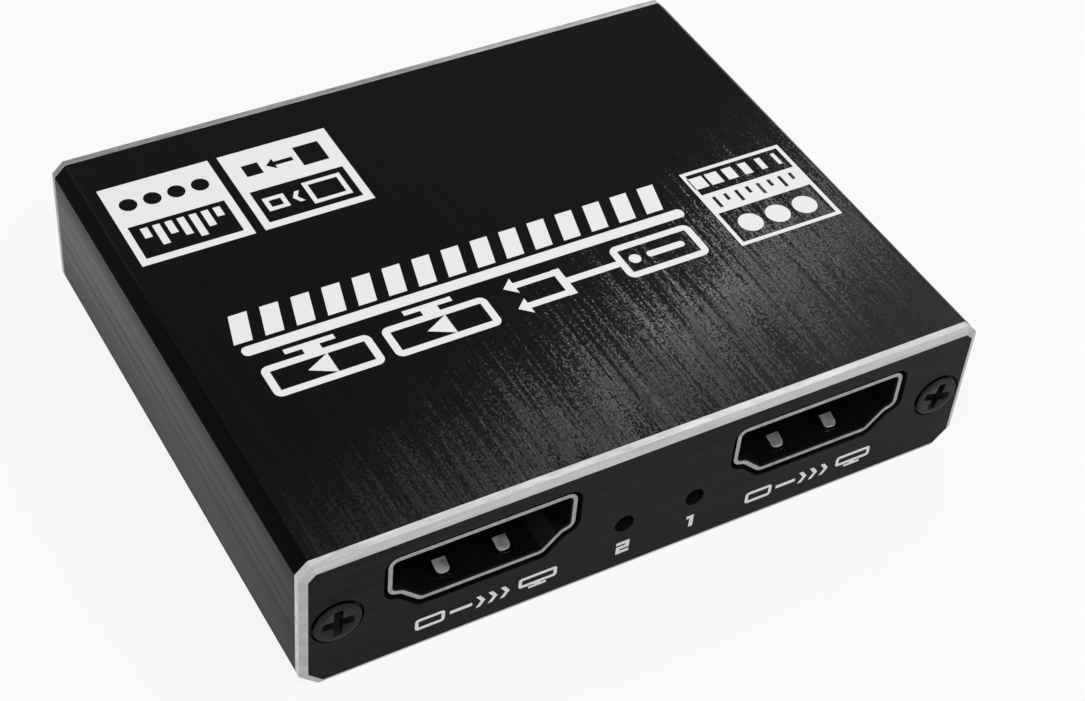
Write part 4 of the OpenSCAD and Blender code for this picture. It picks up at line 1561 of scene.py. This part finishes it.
def aimed(place: Vector, target: Vector, roll: float = 0.0) -> Matrix:
    """Gives the matrix of a camera or lamp.

    Args:
        place: where it stands.
        target: where it looks.
        roll: turn about its own axis in degrees.

    Returns:
        The matrix in the scene.
    """
    turn = (target - place).to_track_quat("-Z", "Y") @ Quaternion((0.0, 0.0, 1.0), math.radians(roll))
    return Matrix.Translation(place) @ turn.to_matrix().to_4x4()


@dataclass(frozen=True)
class Lamp:
    """A square lamp that faces the origin, with its side in metres and its power in watts."""

    name: str
    place: Place
    side: float
    power: float

    def hang(self) -> None:
        """Hangs the lamp."""
        data = bpy.data.lights.new(self.name, "AREA")
        data.shape = "SQUARE"
        data.size = self.side
        data.energy = self.power
        linked(self.name, data).matrix_world = aimed(Vector(self.place) * MM, Vector())


@dataclass
class Studio:
    """Camera, floor and soft light."""

    image_width: int = 1085
    focal_pixels: float = 2198.0
    sensor: float = 36.0
    clip_start: float = 0.01
    camera_place: Place = (-67.485, -109.379, 125.761)
    camera_aim: Place = (0.198, -6.160, 6.5)
    camera_roll: float = 5.765
    floor_half: float = 6.0
    floor_drop: float = 0.02
    floor_colour: Colour = grey(0.84)
    floor_white: float = 0.87
    floor_mirrored: float = 0.6
    sky_band: Point = (-0.8, 0.8)
    sky: Point = (1.02, 0.42)
    lamps: tuple[Lamp, ...] = (
        Lamp("back_lamp", (287.0, 322.0, 416.0), 0.016, 0.19),
        Lamp("side_lamp", (370.0, 262.0, 415.0), 0.1, 0.16),
        Lamp("front_lamp", (270.0, -480.0, 450.0), 0.6, 0.6),
    )

    def build(self) -> None:
        """Sets up the camera, the floor, the sky and the lamps."""
        bpy.context.scene.view_settings.view_transform = "Standard"
        self._camera()
        self._floor()
        self._sky()
        for lamp in self.lamps:
            lamp.hang()

    def _camera(self) -> None:
        """Places the camera at the photograph's view."""
        data = bpy.data.cameras.new("photo_camera")
        data.sensor_fit = "HORIZONTAL"
        data.sensor_width = self.sensor
        data.lens = self.focal_pixels / self.image_width * self.sensor
        data.clip_start = self.clip_start
        camera = linked("photo_camera", data)
        place, aim = Vector(self.camera_place) * MM, Vector(self.camera_aim) * MM
        camera.matrix_world = aimed(place, aim, self.camera_roll)
        bpy.context.scene.camera = camera

    def _floor(self) -> None:
        """Lays a pale floor, which looks white and keeps the shadow."""
        half, low = self.floor_half, -self.floor_drop * MM
        data = bpy.data.meshes.new("floor")
        places = [(-half, -half, low), (half, -half, low), (half, half, low), (-half, half, low)]
        data.from_pydata(places, [], [(0, 1, 2, 3)])
        material = bpy.data.materials.new("pale_floor")
        sheet = NodeSheet.blank(material)
        path = sheet.add("ShaderNodeLightPath").outputs
        mirrored = sheet.maths("MAXIMUM", path["Is Glossy Ray"], path["Is Transmission Ray"])
        mirrored = sheet.maths("MULTIPLY", mirrored, self.floor_mirrored)
        seen = sheet.maths("MULTIPLY", path["Is Camera Ray"], self.floor_white)
        share = sheet.maths("MAXIMUM", seen, mirrored)
        matt = sheet.add("ShaderNodeBsdfDiffuse", {"Color": (*self.floor_colour, 1.0)})
        white = sheet.add("ShaderNodeEmission", {"Color": (1.0, 1.0, 1.0, 1.0), "Strength": 1.0})
        mixed = sheet.add("ShaderNodeMixShader", {0: share, 1: matt.outputs[0], 2: white.outputs[0]})
        sheet.add("ShaderNodeOutputMaterial", {"Surface": mixed.outputs[0]})
        data.materials.append(material)
        floor = linked("floor", data)

    def _sky(self) -> None:
        """Lights the room softly, more from the front than from the rear."""
        world = bpy.data.worlds.new("studio")
        sheet = NodeSheet.blank(world)
        way = sheet.add("ShaderNodeSeparateXYZ", {0: sheet.add("ShaderNodeTexCoord").outputs["Generated"]})
        level = sheet.ranged(way.outputs["Y"], *self.sky_band, *self.sky)
        light = sheet.add("ShaderNodeBackground", {"Color": (1.0, 1.0, 1.0, 1.0), "Strength": level})
        sheet.add("ShaderNodeOutputWorld", {"Surface": light.outputs[0]})
        bpy.context.scene.world = world


def main() -> None:
    """Builds the studio and each sub-assembly in order."""
    logging.basicConfig(level=logging.INFO)
    for part in (Studio(), Case(), Screws(), Sockets(), ModeSwitch(), Inside(), TopPrint(), PlatePrint()):
        LOG.info("building %s", type(part).__name__)
        part.build()


if __name__ == "__main__":
    main()
